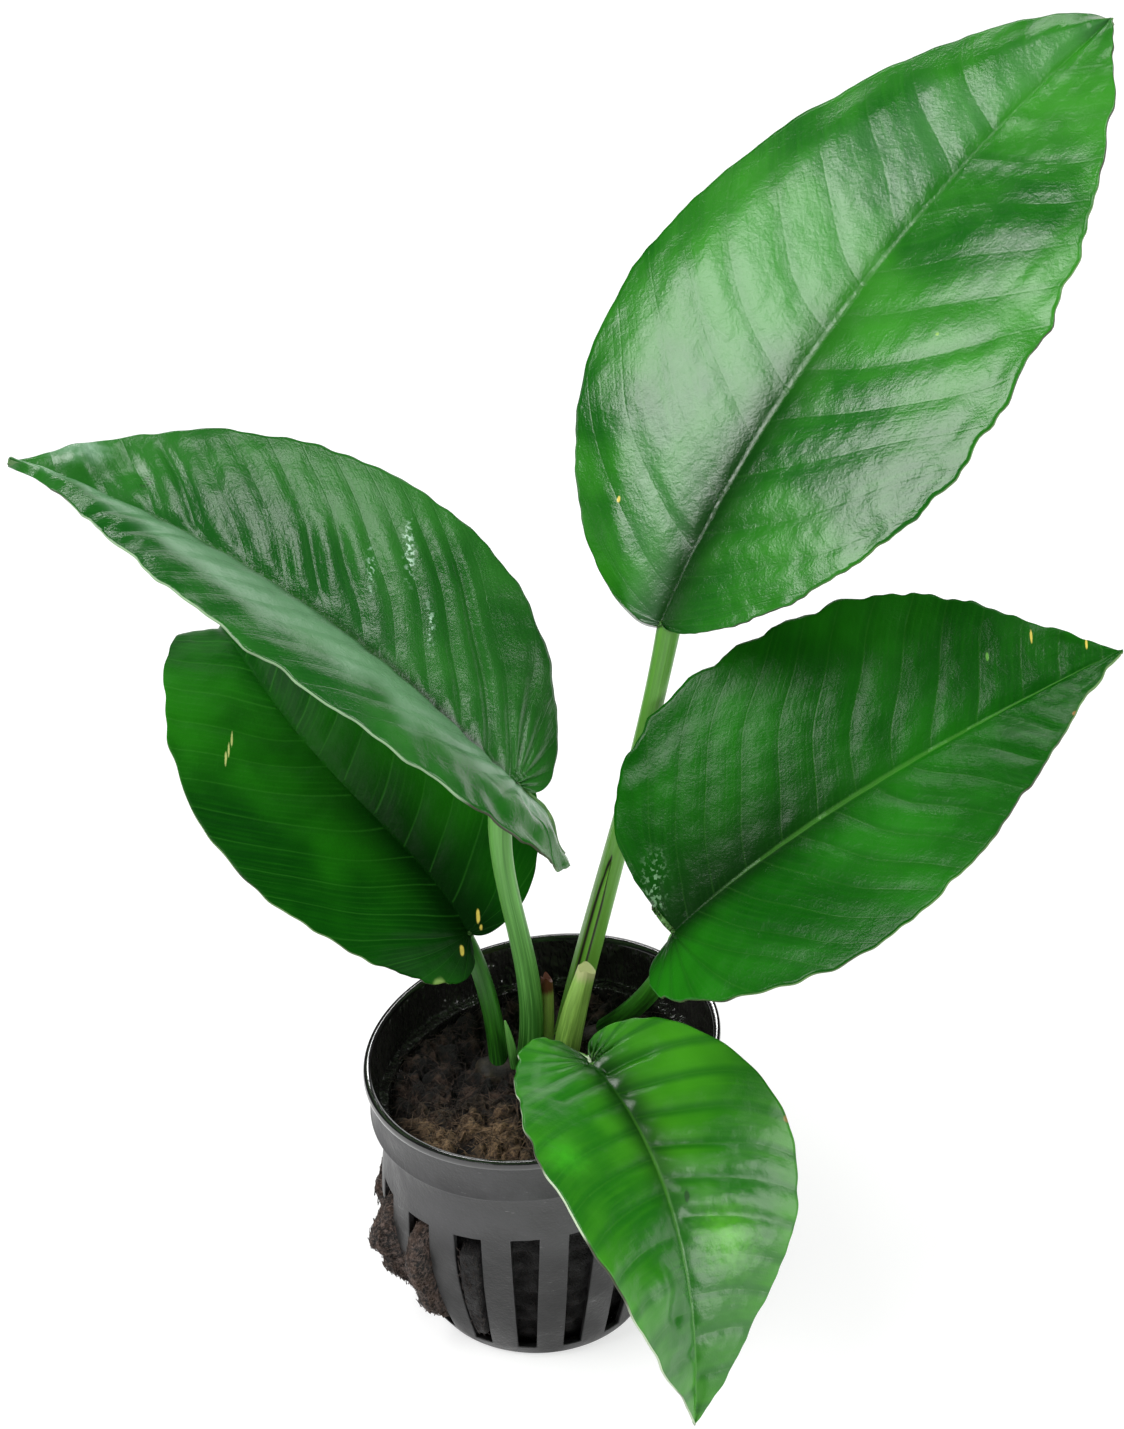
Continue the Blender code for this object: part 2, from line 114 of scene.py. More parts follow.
class Undulation:
    """A smooth, uneven swell made of a few crossing waves."""

    def __init__(self, seed: int, length: float, waves: int = 7) -> None:
        """Choose the waves.

        Args:
            seed: Picks one swell out of many.
            length: The usual distance from crest to crest.
            waves: How many waves cross.
        """
        picker = random.Random(seed)
        self.waves = []
        for _ in range(waves):
            turn = picker.uniform(0, math.tau)
            pitch = math.tau / (length * picker.uniform(0.65, 1.5))
            self.waves.append((pitch * math.cos(turn), pitch * math.sin(turn), picker.uniform(0, math.tau)))

    def at(self, x: np.ndarray, y: np.ndarray) -> np.ndarray:
        """The swell's height at each place, mostly between -1 and 1."""
        total = sum(np.sin(a * x + b * y + c) for a, b, c in self.waves)
        return total * 1.5 / len(self.waves)


def add_piece(name: str, mesh: bpy.types.Mesh, materials: Sequence[bpy.types.Material]) -> bpy.types.Object:
    """Put a mesh in the scene as a piece of the plant.

    Args:
        name: The piece's name.
        mesh: Its mesh, already in place.
        materials: Its materials, in the order of the faces' indices.

    Returns:
        The new object.
    """
    for material in materials:
        mesh.materials.append(material)
    piece = bpy.data.objects.new(name, mesh)
    bpy.context.scene.collection.objects.link(piece)
    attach(piece, ROOT)
    LOG.info("%s: %d vertices", name, len(mesh.vertices))
    return piece


def to_mesh(bm: bmesh.types.BMesh, name: str, crease: float = 45.0, outward: bool = True) -> bpy.types.Mesh:
    """Turn a bmesh into a smooth-shaded mesh.

    Args:
        bm: The bmesh, which is freed.
        name: The mesh's name.
        crease: Edges sharper than this stay sharp.
        outward: Whether to turn the faces of a closed shape outwards.

    Returns:
        The mesh.
    """
    if outward:
        bmesh.ops.recalc_face_normals(bm, faces=bm.faces)
    mesh = bpy.data.meshes.new(name)
    bm.to_mesh(mesh)
    bm.free()
    mesh.shade_smooth()
    mesh.set_sharp_from_angle(angle=math.radians(crease))
    return mesh


def next_ring(bm: bmesh.types.BMesh, ring: list, edges: list) -> tuple[list, list]:
    """Extrude a ring by one step.

    Args:
        bm: The bmesh.
        ring: The last ring's vertices in order.
        edges: The last ring's edges.

    Returns:
        The new ring's vertices in the same order, and its edges.
    """
    made = bmesh.ops.extrude_edge_only(bm, edges=edges)["geom"]
    fresh = {g for g in made if isinstance(g, bmesh.types.BMVert)}
    order = {vert: i for i, vert in enumerate(ring)}
    following = list(ring)
    for vert in fresh:
        partner = next(e.other_vert(vert) for e in vert.link_edges if e.other_vert(vert) in order)
        following[order[partner]] = vert
    return following, [g for g in made if isinstance(g, bmesh.types.BMEdge) and fresh.issuperset(g.verts)]


def sweep(bm: bmesh.types.BMesh, path: np.ndarray, radii: np.ndarray, sides: int) -> list[list]:
    """Extrude a ring along a path and close both ends.

    Args:
        bm: An empty bmesh, which gets the tube.
        path: The tube's axis, one row for each ring, in metres.
        radii: The radius at each ring, in metres.
        sides: How many sides the ring has.

    Returns:
        The rings, each a list of vertices.
    """
    along = unit(np.gradient(path, axis=0))
    side = unit(np.cross(along[0], (0.0, 1.0, 0.0)))
    ring = bmesh.ops.create_circle(bm, segments=sides, radius=1.0, cap_ends=True)["verts"]
    edges = bm.edges[:]
    angles = [math.atan2(v.co.y, v.co.x) for v in ring]
    rings = []
    for step, centre in enumerate(path):
        if step > 0:
            ring, edges = next_ring(bm, ring, edges)
        side = unit(side - along[step] * np.dot(side, along[step]))
        other = np.cross(along[step], side)
        for vert, angle in zip(ring, angles):
            vert.co = Vector(centre + (side * math.cos(angle) + other * math.sin(angle)) * radii[step])
        rings.append(ring)
    bmesh.ops.contextual_create(bm, geom=rings[-1])
    return rings


def lathe(profile: Sequence[Point], steps: int, merge: float) -> bmesh.types.BMesh:
    """Spin a profile once round the Z axis.

    Args:
        profile: The profile's points from end to end.
        steps: How many columns the turn has.
        merge: Points nearer than this become one.

    Returns:
        The new bmesh.
    """
    bm = bmesh.new()
    verts = [bm.verts.new(point) for point in profile]
    for pair in zip(verts, verts[1:]):
        bm.edges.new(pair)
    geometry = bm.verts[:] + bm.edges[:]
    turn = {"cent": (0, 0, 0), "axis": (0, 0, 1), "angle": math.tau}
    bmesh.ops.spin(bm, geom=geometry, steps=steps, use_merge=True, **turn)
    bmesh.ops.remove_doubles(bm, verts=bm.verts, dist=merge)
    return bm


# ---------------------------------------------------------------- node helper


class Graph:
    """Adds shader nodes to a tree and joins them."""

    def __init__(self, tree: bpy.types.NodeTree) -> None:
        """Work on a material's tree or on a group's tree."""
        self.tree = tree

    def put(self, target: Socket, value: object) -> None:
        """Feed a socket from another socket, or set its value."""
        if isinstance(value, bpy.types.NodeSocket):
            self.tree.links.new(value, target)
        elif isinstance(value, tuple) and len(value) == 3 and target.type == "RGBA":
            target.default_value = (*value, 1.0)
        elif value is not None:
            target.default_value = value

    def node(self, kind: str, inputs: dict | None = None, **settings: object) -> bpy.types.Node:
        """Add a node.

        Args:
            kind: The node's type, without its prefix.
            inputs: Values or sockets for its inputs, by name or number.
            **settings: Values for its properties.

        Returns:
            The node.
        """
        made = self.tree.nodes.new("ShaderNode" + kind)
        for key, value in settings.items():
            setattr(made, key, value)
        for key, value in (inputs or {}).items():
            self.put(made.inputs[key], value)
        return made

    def math(self, operation: str, *values: object) -> Socket:
        """Work out a number from numbers or sockets."""
        made = self.node("Math", operation=operation)
        for target, value in zip(made.inputs, values):
            self.put(target, value)
        return made.outputs[0]

    def vector(self, operation: str, *values: object) -> Socket:
        """Work out a vector from vectors, or a vector's length."""
        made = self.node("VectorMath", operation=operation)
        for target, value in zip(made.inputs, values):
            self.put(target, value)
        return made.outputs["Value" if operation == "LENGTH" else "Vector"]

    def join(self, x: object, y: object, z: object = 0.0) -> Socket:
        """Make a vector of three numbers."""
        return self.node("CombineXYZ", {0: x, 1: y, 2: z}).outputs[0]

    def mix(self, share: object, first: object, second: object) -> Socket:
        """Blend two colours."""
        made = self.node("Mix", data_type="RGBA")
        self.put(made.inputs["Factor"], share)
        colours = [s for s in made.inputs if s.type == "RGBA"]
        self.put(colours[0], first)
        self.put(colours[1], second)
        return next(s for s in made.outputs if s.type == "RGBA")

    def span(self, value: object, low: float, high: float, to_low: float = 0.0, to_high: float = 1.0) -> Socket:
        """Carry a number smoothly from one range to another."""
        inputs = {"Value": value, "From Min": low, "From Max": high, "To Min": to_low, "To Max": to_high}
        return self.node("MapRange", inputs, interpolation_type="SMOOTHSTEP").outputs[0]

    def noise(self, place: object, scale: float, detail: float = 3.0, roughness: float = 0.55) -> Socket:
        """Cloudy noise about 0.5."""
        inputs = {"Vector": place, "Scale": scale, "Detail": detail, "Roughness": roughness}
        return self.node("TexNoise", inputs).outputs[0]

    def attribute(self, name: str) -> Socket:
        """A number stored on the mesh."""
        return self.node("Attribute", attribute_name=name).outputs["Fac"]

    def place(self) -> Socket:
        """The place on the object, in metres."""
        return self.node("TexCoord").outputs["Object"]

    def axis(self, place: Socket, number: int) -> Socket:
        """One of a place's three numbers."""
        return self.node("SeparateXYZ", {0: place}).outputs[number]

    def paint(self, shader: bpy.types.Node, colour: object, roughness: object) -> None:
        """Give a shader its colour and its roughness."""
        self.put(shader.inputs["Base Color"], colour)
        self.put(shader.inputs["Roughness"], roughness)

    def emboss(self, shader: bpy.types.Node, height: Socket, strength: float, depth: float, **settings: bool) -> None:
        """Raise a shader's surface.

        Args:
            shader: The shader.
            height: The pattern to raise.
            strength: How strongly it shows, from 0 to 1.
            depth: How far it stands out, in mm.
            **settings: Properties of the Bump node.
        """
        inputs = {"Strength": strength, "Distance": depth * MM, "Height": height}
        self.put(shader.inputs["Normal"], self.node("Bump", inputs, **settings).outputs[0])


class Group:
    """A shader node group that several materials share."""

    def __init__(self, name: str, inputs: dict[str, str], outputs: dict[str, str]) -> None:
        """Start a group.

        Args:
            name: The group's name.
            inputs: Its inputs by name, each with its kind: Float, Vector or Color.
            outputs: Its outputs in the same way.
        """
        self.tree = bpy.data.node_groups.new(name, "ShaderNodeTree")
        for way, sockets in (("INPUT", inputs), ("OUTPUT", outputs)):
            for title, kind in sockets.items():
                self.tree.interface.new_socket(title, in_out=way, socket_type="NodeSocket" + kind)
        self.graph = Graph(self.tree)
        self.given = self.tree.nodes.new("NodeGroupInput").outputs
        self.result = self.tree.nodes.new("NodeGroupOutput").inputs

    def give(self, **values: object) -> None:
        """Join the group's outputs."""
        for title, value in values.items():
            self.graph.put(self.result[title], value)

    def use(self, graph: Graph, **values: object) -> dict[str, Socket]:
        """Place the group in a material.

        Args:
            graph: The material's graph.
            **values: What feeds the group's inputs.

        Returns:
            The group's outputs by name.
        """
        made = graph.tree.nodes.new("ShaderNodeGroup")
        made.node_tree = self.tree
        for title, value in values.items():
            graph.put(made.inputs[title], value)
        return {s.name: s for s in made.outputs}


class SharedEffects:
    """The node groups that more than one material uses."""

    def __init__(self) -> None:
        """Build every group once."""
        self.veins = self.build_veins()
        self.mark = self.build_mark()
        self.grime = self.build_grime()

    @staticmethod
    def build_veins() -> Group:
        """The pattern of a blade: main veins, fine veins, midrib and cloudy colour."""
        group = Group(
            "leaf_veins",
            {"Phase": "Float", "Across": "Float", "Place": "Vector"},
            dict.fromkeys(("Main", "Trough", "Fine", "Streak", "Midrib", "Cloud", "Height"), "Float"),
        )
        g, given = group.graph, group.given
        near = g.math("PINGPONG", given["Phase"], 0.5)
        main = g.span(near, 0.0, 0.045, 1.0, 0.0)
        trough = g.span(near, 0.02, 0.26, 1.0, 0.0)
        fine_phase = g.math("MULTIPLY", given["Phase"], 5.0)
        fine = g.span(g.math("PINGPONG", fine_phase, 0.5), 0.0, 0.22, 1.0, 0.0)
        along_veins = g.join(g.math("MULTIPLY", given["Phase"], 7.0), g.math("MULTIPLY", given["Across"], 2.0))
        streak = g.noise(along_veins, 1.0, 3.0, 0.5)
        midrib = g.span(given["Across"], 0.006, 0.022, 1.0, 0.0)
        cloud = g.noise(given["Place"], 42.0, 3.0, 0.5)
        patchy = g.span(g.noise(given["Place"], 95.0, 2.0), 0.38, 0.62)
        fine = g.math("MULTIPLY", fine, patchy)
        pores = g.noise(given["Place"], 1500.0, 3.0, 0.7)
        crinkles = g.noise(given["Place"], 300.0, 3.0, 0.55)
        height = g.math("MULTIPLY_ADD", fine, -0.07, g.math("MULTIPLY", pores, 0.62))
        height = g.math("MULTIPLY_ADD", crinkles, 0.55, height)
        height = g.math("MULTIPLY_ADD", streak, 0.08, height)
        height = g.math("MULTIPLY_ADD", main, -0.10, height)
        group.give(Main=main, Trough=trough, Fine=fine, Streak=streak, Midrib=midrib, Cloud=cloud, Height=height)
        return group

    @staticmethod
    def build_mark() -> Group:
        """A blotch with a ragged edge about a centre."""
        inputs = {"Place": "Vector", "Centre": "Vector", "Size": "Vector", "Soft": "Float"}
        group = Group("blotch", inputs, {"Mask": "Float"})
        g, given = group.graph, group.given
        away = g.vector("SUBTRACT", given["Place"], given["Centre"])
        reach = g.vector("LENGTH", g.vector("DIVIDE", away, given["Size"]))
        ragged = g.math("MULTIPLY_ADD", g.noise(given["Place"], 900.0, 3.0), 0.7, reach)
        into = g.math("SUBTRACT", 1.35, ragged)
        group.give(Mask=g.span(g.math("DIVIDE", into, g.math("ADD", given["Soft"], 0.4)), 0.0, 1.0))
        return group

    @staticmethod
    def build_grime() -> Group:
        """Fine unevenness of a moulded or wet surface."""
        group = Group("unevenness", {"Place": "Vector"}, {"Cloud": "Float", "Grain": "Float"})
        g, given = group.graph, group.given
        group.give(Cloud=g.noise(given["Place"], 120.0, 4.0), Grain=g.noise(given["Place"], 2400.0, 3.0))
        return group


def new_material(name: str) -> tuple[bpy.types.Material, Graph, bpy.types.Node]:
    """Start a material.

    Args:
        name: The material's name.

    Returns:
        The material, its graph and its shader.
    """
    material = bpy.data.materials.new(name)
    material.use_nodes = True
    return material, Graph(material.node_tree), material.node_tree.nodes["Principled BSDF"]


# ---------------------------------------------------------------- finishes


@dataclass(frozen=True)
class Mark:
    """A blotch on a blade: its centre and half sizes in mm, its colour, and how soft its edge is."""

    centre: Point
    size: Point
    colour: Colour
    soft: float = 0.0


@dataclass(frozen=True)
class LeafFinish:
    """The skin of one blade.

    Attributes:
        name: The start of its materials' names.
        deep: Its darkest green.
        bright: Its brightest green.
        vein: The green of its veins and midrib.
        vein_show: How much the veins' colour shows.
        midrib_show: How much the midrib's colour shows.
        roughness: Its mean roughness.
        relief: How strongly the pores and crinkles show.
        painted_sheen: The colour of the painted sheen beside the midrib.
        edge: The colour of the thin margin.
        shine: The strength of its reflections.
        groove: How dark the painted shade in the troughs along the veins is.
        marks: Its spots and scratches.
        drops: Stretches beaded with fine specks: pale specks are painted glints on water beads, dark specks are the
            blade's own.
    """

    name: str
    deep: Colour
    bright: Colour
    vein: Colour
    vein_show: float
    midrib_show: float
    roughness: float
    relief: float
    painted_sheen: Colour
    edge: Colour = (0.10, 0.22, 0.05)
    shine: float = 0.5
    groove: float = 0.2
    marks: tuple[Mark, ...] = ()
    drops: tuple[Mark, ...] = ()

    def pattern(self, effects: SharedEffects, g: Graph, place: Socket) -> dict[str, Socket]:
        """The blade's pattern of veins."""
        return effects.veins.use(g, Phase=g.attribute("phase"), Across=g.attribute("across"), Place=place)

    def upper(self, effects: SharedEffects) -> bpy.types.Material:
        """The waxy upper skin."""
        material, g, shader = new_material(self.name + "_upper")
        place = g.place()
        pattern = self.pattern(effects, g, place)
        colour = g.mix(g.span(pattern["Cloud"], 0.36, 0.68), self.deep, self.bright)
        colour = g.mix(g.span(pattern["Streak"], 0.40, 0.72, 0.0, 0.22), colour, self.bright)
        rib = g.math("MULTIPLY", pattern["Midrib"], g.span(g.attribute("run"), 0.15, 0.42))
        # Painted shade in the troughs along the veins and beside the midrib, then the veins' and midrib's own
        # colours.
        for cover, show, over in (
            (pattern["Trough"], self.groove, self.deep),
            (g.attribute("midrib_shade"), 0.95, tuple(0.30 * c for c in self.deep)),
            (pattern["Main"], self.vein_show, self.vein),
            (pattern["Fine"], 0.5 * self.vein_show, self.vein),
            (rib, self.midrib_show, self.vein),
        ):
            colour = g.mix(g.math("MULTIPLY", cover, show), colour, over)
        # A painted sheen beside the midrib.
        colour = g.mix(g.attribute("painted_sheen"), colour, self.painted_sheen)
        for mark in self.marks:
            colour = g.mix(self.mask(effects, g, mark), colour, mark.colour)
        # Fine specks: the pale ones paint the glint of water beads, the dark ones are the blade's own specks.
        for mark in self.drops:
            beads = g.span(g.noise(place, 1250.0, 2.0, 0.6), 0.52, 0.60)
            colour = g.mix(g.math("MULTIPLY", self.mask(effects, g, mark), beads), colour, mark.colour)
        g.paint(shader, colour, g.span(pattern["Cloud"], 0.3, 0.7, self.roughness - 0.04, self.roughness + 0.05))
        shader.inputs["IOR"].default_value = 1.5
        shader.inputs["Specular IOR Level"].default_value = self.shine
        g.emboss(shader, pattern["Height"], self.relief, 0.25)
        return material

    @staticmethod
    def mask(effects: SharedEffects, g: Graph, mark: Mark) -> Socket:
        """Where a mark covers the skin."""
        centre = tuple(c * MM for c in mark.centre)
        size = tuple(c * MM for c in mark.size)
        return effects.mark.use(g, Place=g.place(), Centre=centre, Size=size, Soft=mark.soft)["Mask"]

    def under(self, effects: SharedEffects) -> bpy.types.Material:
        """The paler, duller underside."""
        material, g, shader = new_material(self.name + "_under")
        pattern = self.pattern(effects, g, g.place())
        pale = tuple(0.55 * a + 0.45 * b for a, b in zip(self.bright, (0.16, 0.30, 0.09)))
        colour = g.mix(g.span(pattern["Cloud"], 0.3, 0.7), pale, tuple(0.8 * c for c in pale))
        colour = g.mix(g.math("MULTIPLY", pattern["Main"], 0.5), colour, (0.20, 0.34, 0.10))
        g.paint(shader, colour, 0.5)
        g.emboss(shader, pattern["Height"], 0.7, 0.25, invert=True)
        return material

    def rim(self) -> bpy.types.Material:
        """The thin edge of the blade, pale with a few brown stretches."""
        material, g, shader = new_material(self.name + "_rim")
        brown = g.span(g.noise(g.place(), 70.0, 2.0), 0.45, 0.6)
        g.paint(shader, g.mix(brown, self.edge, (0.040, 0.05, 0.02)), 0.5)
        return material


@dataclass(frozen=True)
class StalkFinish:
    """The skin of a stalk.

    Attributes:
        name: Its material's name.
        foot: Its colour at the foot.
        top: Its colour at the top.
        end: The colour of a cut or torn end.
        lining: The colour inside an open sheath.
        lips: The colour of the sheath's lips.
        roughness: Its roughness.
        end_from: Where the end's colour begins, as a share of the stalk.
    """

    name: str
    foot: Colour
    top: Colour
    end: Colour | None = None
    lining: Colour | None = None
    lips: Colour = (0.030, 0.010, 0.012)
    roughness: float = 0.36
    end_from: float = 0.93

    def skin(self) -> bpy.types.Material:
        """A satin skin with fine ribs along the stalk."""
        material, g, shader = new_material(self.name)
        facing, along = g.attribute("facing"), g.attribute("along")
        turn = g.math("MULTIPLY", facing, math.pi)
        round_it = g.join(g.math("COSINE", turn), g.math("SINE", turn), g.math("MULTIPLY", along, 0.5))
        ribs = g.noise(round_it, 5.0, 4.0, 0.6)
        colour = g.mix(g.span(along, 0.0, 1.0), self.foot, self.top)
        colour = g.mix(g.span(ribs, 0.38, 0.7, 0.0, 0.65), colour, tuple(min(1.0, 1.45 * c) for c in self.top))
        colour = g.mix(g.span(g.noise(round_it, 2.0, 2.0), 0.55, 0.75, 0.0, 0.6), colour, self.foot)
        if self.lining is not None:
            opening = g.attribute("opening")
            colour = g.mix(g.span(opening, 0.25, 0.45), colour, self.lips)
            colour = g.mix(g.span(opening, 0.55, 0.75), colour, self.lining)
        if self.end is not None:
            torn = g.math("MULTIPLY_ADD", ribs, 0.12, along)
            colour = g.mix(g.span(torn, self.end_from, self.end_from + 0.10), colour, self.end)
        g.paint(shader, colour, self.roughness)
        g.emboss(shader, ribs, 0.6, 0.25)
        return material


class PotSkin(Enum):
    """The parts of the pot's surface, each with the number of its material."""

    DRY = 0
    WET = 1
    LIP = 2


@dataclass(frozen=True)
class PotFinish:
    """Soft black plastic, matt outside and wet inside, with two shades for each part of the surface."""

    outside: Colour = (0.025, 0.025, 0.026)
    clouds: Colour = (0.065, 0.065, 0.0676)
    foot: Colour = (0.004, 0.004, 0.004)
    scuff: Colour = (0.30, 0.30, 0.30)
    inside: Colour = (0.006, 0.006, 0.006)
    film: Colour = (0.030, 0.028, 0.026)
    lip_dark: Colour = (0.004, 0.004, 0.004)
    lip_pale: Colour = (0.010, 0.010, 0.010)

    def materials(self, effects: SharedEffects) -> list[bpy.types.Material]:
        """The pot's materials in the order of PotSkin."""
        return [self.dry(effects), self.wet(effects), self.lip(effects)]

    def dry(self, effects: SharedEffects) -> bpy.types.Material:
        """The matt outside, with faint scuffs."""
        material, g, shader = new_material("pot_outside")
        place = g.place()
        rough = effects.grime.use(g, Place=place)
        colour = g.mix(g.span(rough["Cloud"], 0.35, 0.7), self.outside, self.clouds)
        colour = g.mix(g.span(g.axis(place, 2), 0.020, 0.030, 0.9, 0.0), colour, self.foot)
        scuffs = g.noise(g.vector("MULTIPLY", place, (1.0, 1.0, 6.0)), 420.0, 5.0, 0.75)
        colour = g.mix(g.span(scuffs, 0.64, 0.72, 0.0, 0.6), colour, self.scuff)
        g.paint(shader, colour, g.span(rough["Cloud"], 0.3, 0.7, 0.30, 0.62))
        g.emboss(shader, g.math("MULTIPLY_ADD", rough["Cloud"], 6.0, rough["Grain"]), 0.5, 0.16)
        return material

    def wet(self, effects: SharedEffects) -> bpy.types.Material:
        """The wet inside wall, with a wrinkled film on it."""
        material, g, shader = new_material("pot_inside")
        place = g.place()
        cloud = effects.grime.use(g, Place=place)["Cloud"]
        g.paint(shader, g.mix(cloud, self.inside, self.film), g.span(cloud, 0.3, 0.7, 0.07, 0.30))
        wrinkles = g.noise(g.vector("MULTIPLY", place, (1.0, 1.0, 0.45)), 320.0, 3.0, 0.6)
        g.emboss(shader, wrinkles, 1.0, 2.4)
        return material

    def lip(self, effects: SharedEffects) -> bpy.types.Material:
        """The polished lip."""
        material, g, shader = new_material("pot_lip")
        cloud = effects.grime.use(g, Place=g.place())["Cloud"]
        g.paint(shader, g.mix(cloud, self.lip_dark, self.lip_pale), g.span(cloud, 0.3, 0.7, 0.10, 0.20))
        shader.inputs["Coat Weight"].default_value = 1.0
        shader.inputs["Coat Roughness"].default_value = 0.05
        g.emboss(shader, cloud, 0.6, 0.5)
        return material


@dataclass(frozen=True)
class WoolFinish:
    """Wet brown fibre.

    Attributes:
        dark: Its darkest brown.
        brown: Its usual brown.
        gold: The drier place at the front left of the bed.
        ash: The drier threads of the tufts.
        shadow: The painted shadow on the wool behind the slots that have no tuft.
        crack_shade: The painted shade at the bottom of the cracks.
        tuft_top: The heights between which the tufts' colours end, in metres.
        shadow_from: The places along X between which the painted shadow begins, in metres.
    """

    dark: Colour = (0.004, 0.003, 0.002)
    brown: Colour = (0.070, 0.041, 0.027)
    gold: Colour = (0.330, 0.210, 0.105)
    ash: Colour = (0.175, 0.122, 0.100)
    shadow: Colour = (0.005, 0.004, 0.004)
    crack_shade: Colour = (0.001, 0.001, 0.001)
    gold_centre: Point = (-0.014, -0.0125, 0.041)
    gold_size: Point = (0.017, 0.010, 0.010)
    tuft_top: tuple[float, float] = (0.034, 0.037)
    shadow_from: tuple[float, float] = (-0.0135, -0.0115)

    def material(self, name: str, lift: float) -> bpy.types.Material:
        """The colour of the wool or of its loose fibres.

        Args:
            name: The material's name.
            lift: How much paler it is than the bed, from 0 to 1.

        Returns:
            The material.
        """
        material, g, shader = new_material(name)
        place = g.place()
        spots = g.noise(place, 380.0, 5.0, 0.65)
        threads = g.noise(g.vector("MULTIPLY", place, (1.0, 2.4, 1.0)), 1500.0, 4.0, 0.7)
        from_gold = g.vector("DIVIDE", g.vector("SUBTRACT", place, self.gold_centre), self.gold_size)
        reach = g.math("ADD", g.vector("LENGTH", from_gold), g.math("MULTIPLY", g.noise(place, 75.0, 2.0), 0.9))
        below = g.span(g.axis(place, 2), *self.tuft_top, 1.0, 0.0)
        colour = g.mix(g.span(spots, 0.45, 0.63), self.dark, self.brown)
        for where, how_much, over in (
            (g.span(reach, 0.9, 1.7, 1.0, 0.0), g.span(threads, 0.35, 0.62), self.gold),
            (below, g.span(threads, 0.44, 0.64), self.ash),
            # Painted shadow on the wool behind the slots without a tuft.
            (below, g.span(g.axis(place, 0), *self.shadow_from), self.shadow),
        ):
            colour = g.mix(g.math("MULTIPLY", where, how_much), colour, over)
        colour = g.mix(lift * 0.3, colour, self.ash)
        # Painted shade at the bottom of the cracks.
        colour = g.mix(g.attribute("crevice"), colour, self.crack_shade)
        g.paint(shader, colour, g.span(spots, 0.3, 0.7, 0.55, 0.95))
        g.emboss(shader, g.math("ADD", spots, threads), 0.9, 1.0)
        return material


@dataclass(frozen=True)
class BarkFinish:
    """The cloudy two-colour bark of the rhizome."""

    first: Colour = (0.008, 0.007, 0.004)
    second: Colour = (0.035, 0.026, 0.014)

    def material(self, effects: SharedEffects) -> bpy.types.Material:
        """The finish as a material."""
        material, g, shader = new_material("bark")
        place = g.place()
        cloud = g.noise(place, 500.0, 4.0, 0.6)
        g.paint(shader, g.mix(g.span(cloud, 0.36, 0.64), self.first, self.second), 0.65)
        g.emboss(shader, g.math("ADD", cloud, effects.grime.use(g, Place=place)["Grain"]), 0.6, 0.3)
        return material


# ---------------------------------------------------------------- blades


class Side(Enum):
    """The half of a blade, as seen from its stalk with the face up."""

    LEFT = -1
    RIGHT = 1


@dataclass(frozen=True)
class HalfBlade:
    """One half of a blade.

    Attributes:
        width: Its greatest width.
        widest: Where that is, as a share of the midrib.
        lobe: How far the base bulges back past the stalk.
        base_fullness: How round the margin is near the stalk.
        tip_fullness: How round the margin is towards the tip.
        tip_slope: How steeply the margin runs into the tip.
        fold: How far the half is raised at the midrib.
        curl_per_cm: How far it bends down again with each centimetre.
        tip_blunt: How far the margin is drawn out beside the tip.
        pleat: The depth of the pleats between the veins.
        ruffle: How far the margin waves up and down.
        scallop: How far the margin waves in and out.
        edge_drop: How far the margin hangs down.
        crown: How far the middle of the half swells.
        painted_sheen: How much painted sheen lies beside the midrib.
        crumple: How crumpled the base is.
        shade: How wide the painted shade beside the midrib is, as a share of the width.
        bumps: Single swellings: distances along and beside the midrib, radius and height.
        fade: How far the pleats die out towards the tip, as a share.
        tatter: How ragged the margin is near the stalk.
    """

    width: float
    widest: float
    lobe: float
    base_fullness: float
    tip_fullness: float
    tip_slope: float
    fold: float
    curl_per_cm: float
    tip_blunt: float = 0.0
    pleat: float = 0.40
    ruffle: float = 0.22
    scallop: float = 0.22
    edge_drop: float = 0.0
    crown: float = 0.0
    painted_sheen: float = 0.0
    crumple: float = 0.0
    shade: float = 0.15
    bumps: tuple[tuple[float, float, float, float], ...] = ()
    fade: float = 0.0
    tatter: float = 0.0

    def outline(self, length: float, share: np.ndarray) -> tuple[np.ndarray, np.ndarray]:
        """The margin of the flat blade.

        Args:
            length: The midrib's length.
            share: How far round the margin, from the stalk at 0 to the tip at 1.

        Returns:
            Distances along and beside the midrib.
        """
        widest = self.widest * length
        base = bezier(
            (
                (0, 0),
                (-1.9 * self.lobe, 0.12 * self.width),
                (widest * (1 - self.base_fullness), self.width),
                (widest, self.width),
            ),
            np.clip(2 * share, 0, 1),
        )
        tip = bezier(
            (
                (widest, self.width),
                (widest + self.tip_fullness * (length - widest), self.width),
                (length * (1 - self.tip_slope) + self.tip_blunt, 2.0 * self.width * self.tip_slope),
                (length, 0),
            ),
            np.clip(2 * share - 1, 0, 1),
        )
        line = np.where(share[:, None] < 0.5, base, tip)
        return line[:, 0], line[:, 1]


@dataclass
class Spots:
    """Places on a flat half: along and beside the midrib, the share of the way out, and the vein count."""

    x: np.ndarray
    y: np.ndarray
    across: np.ndarray
    phase: np.ndarray


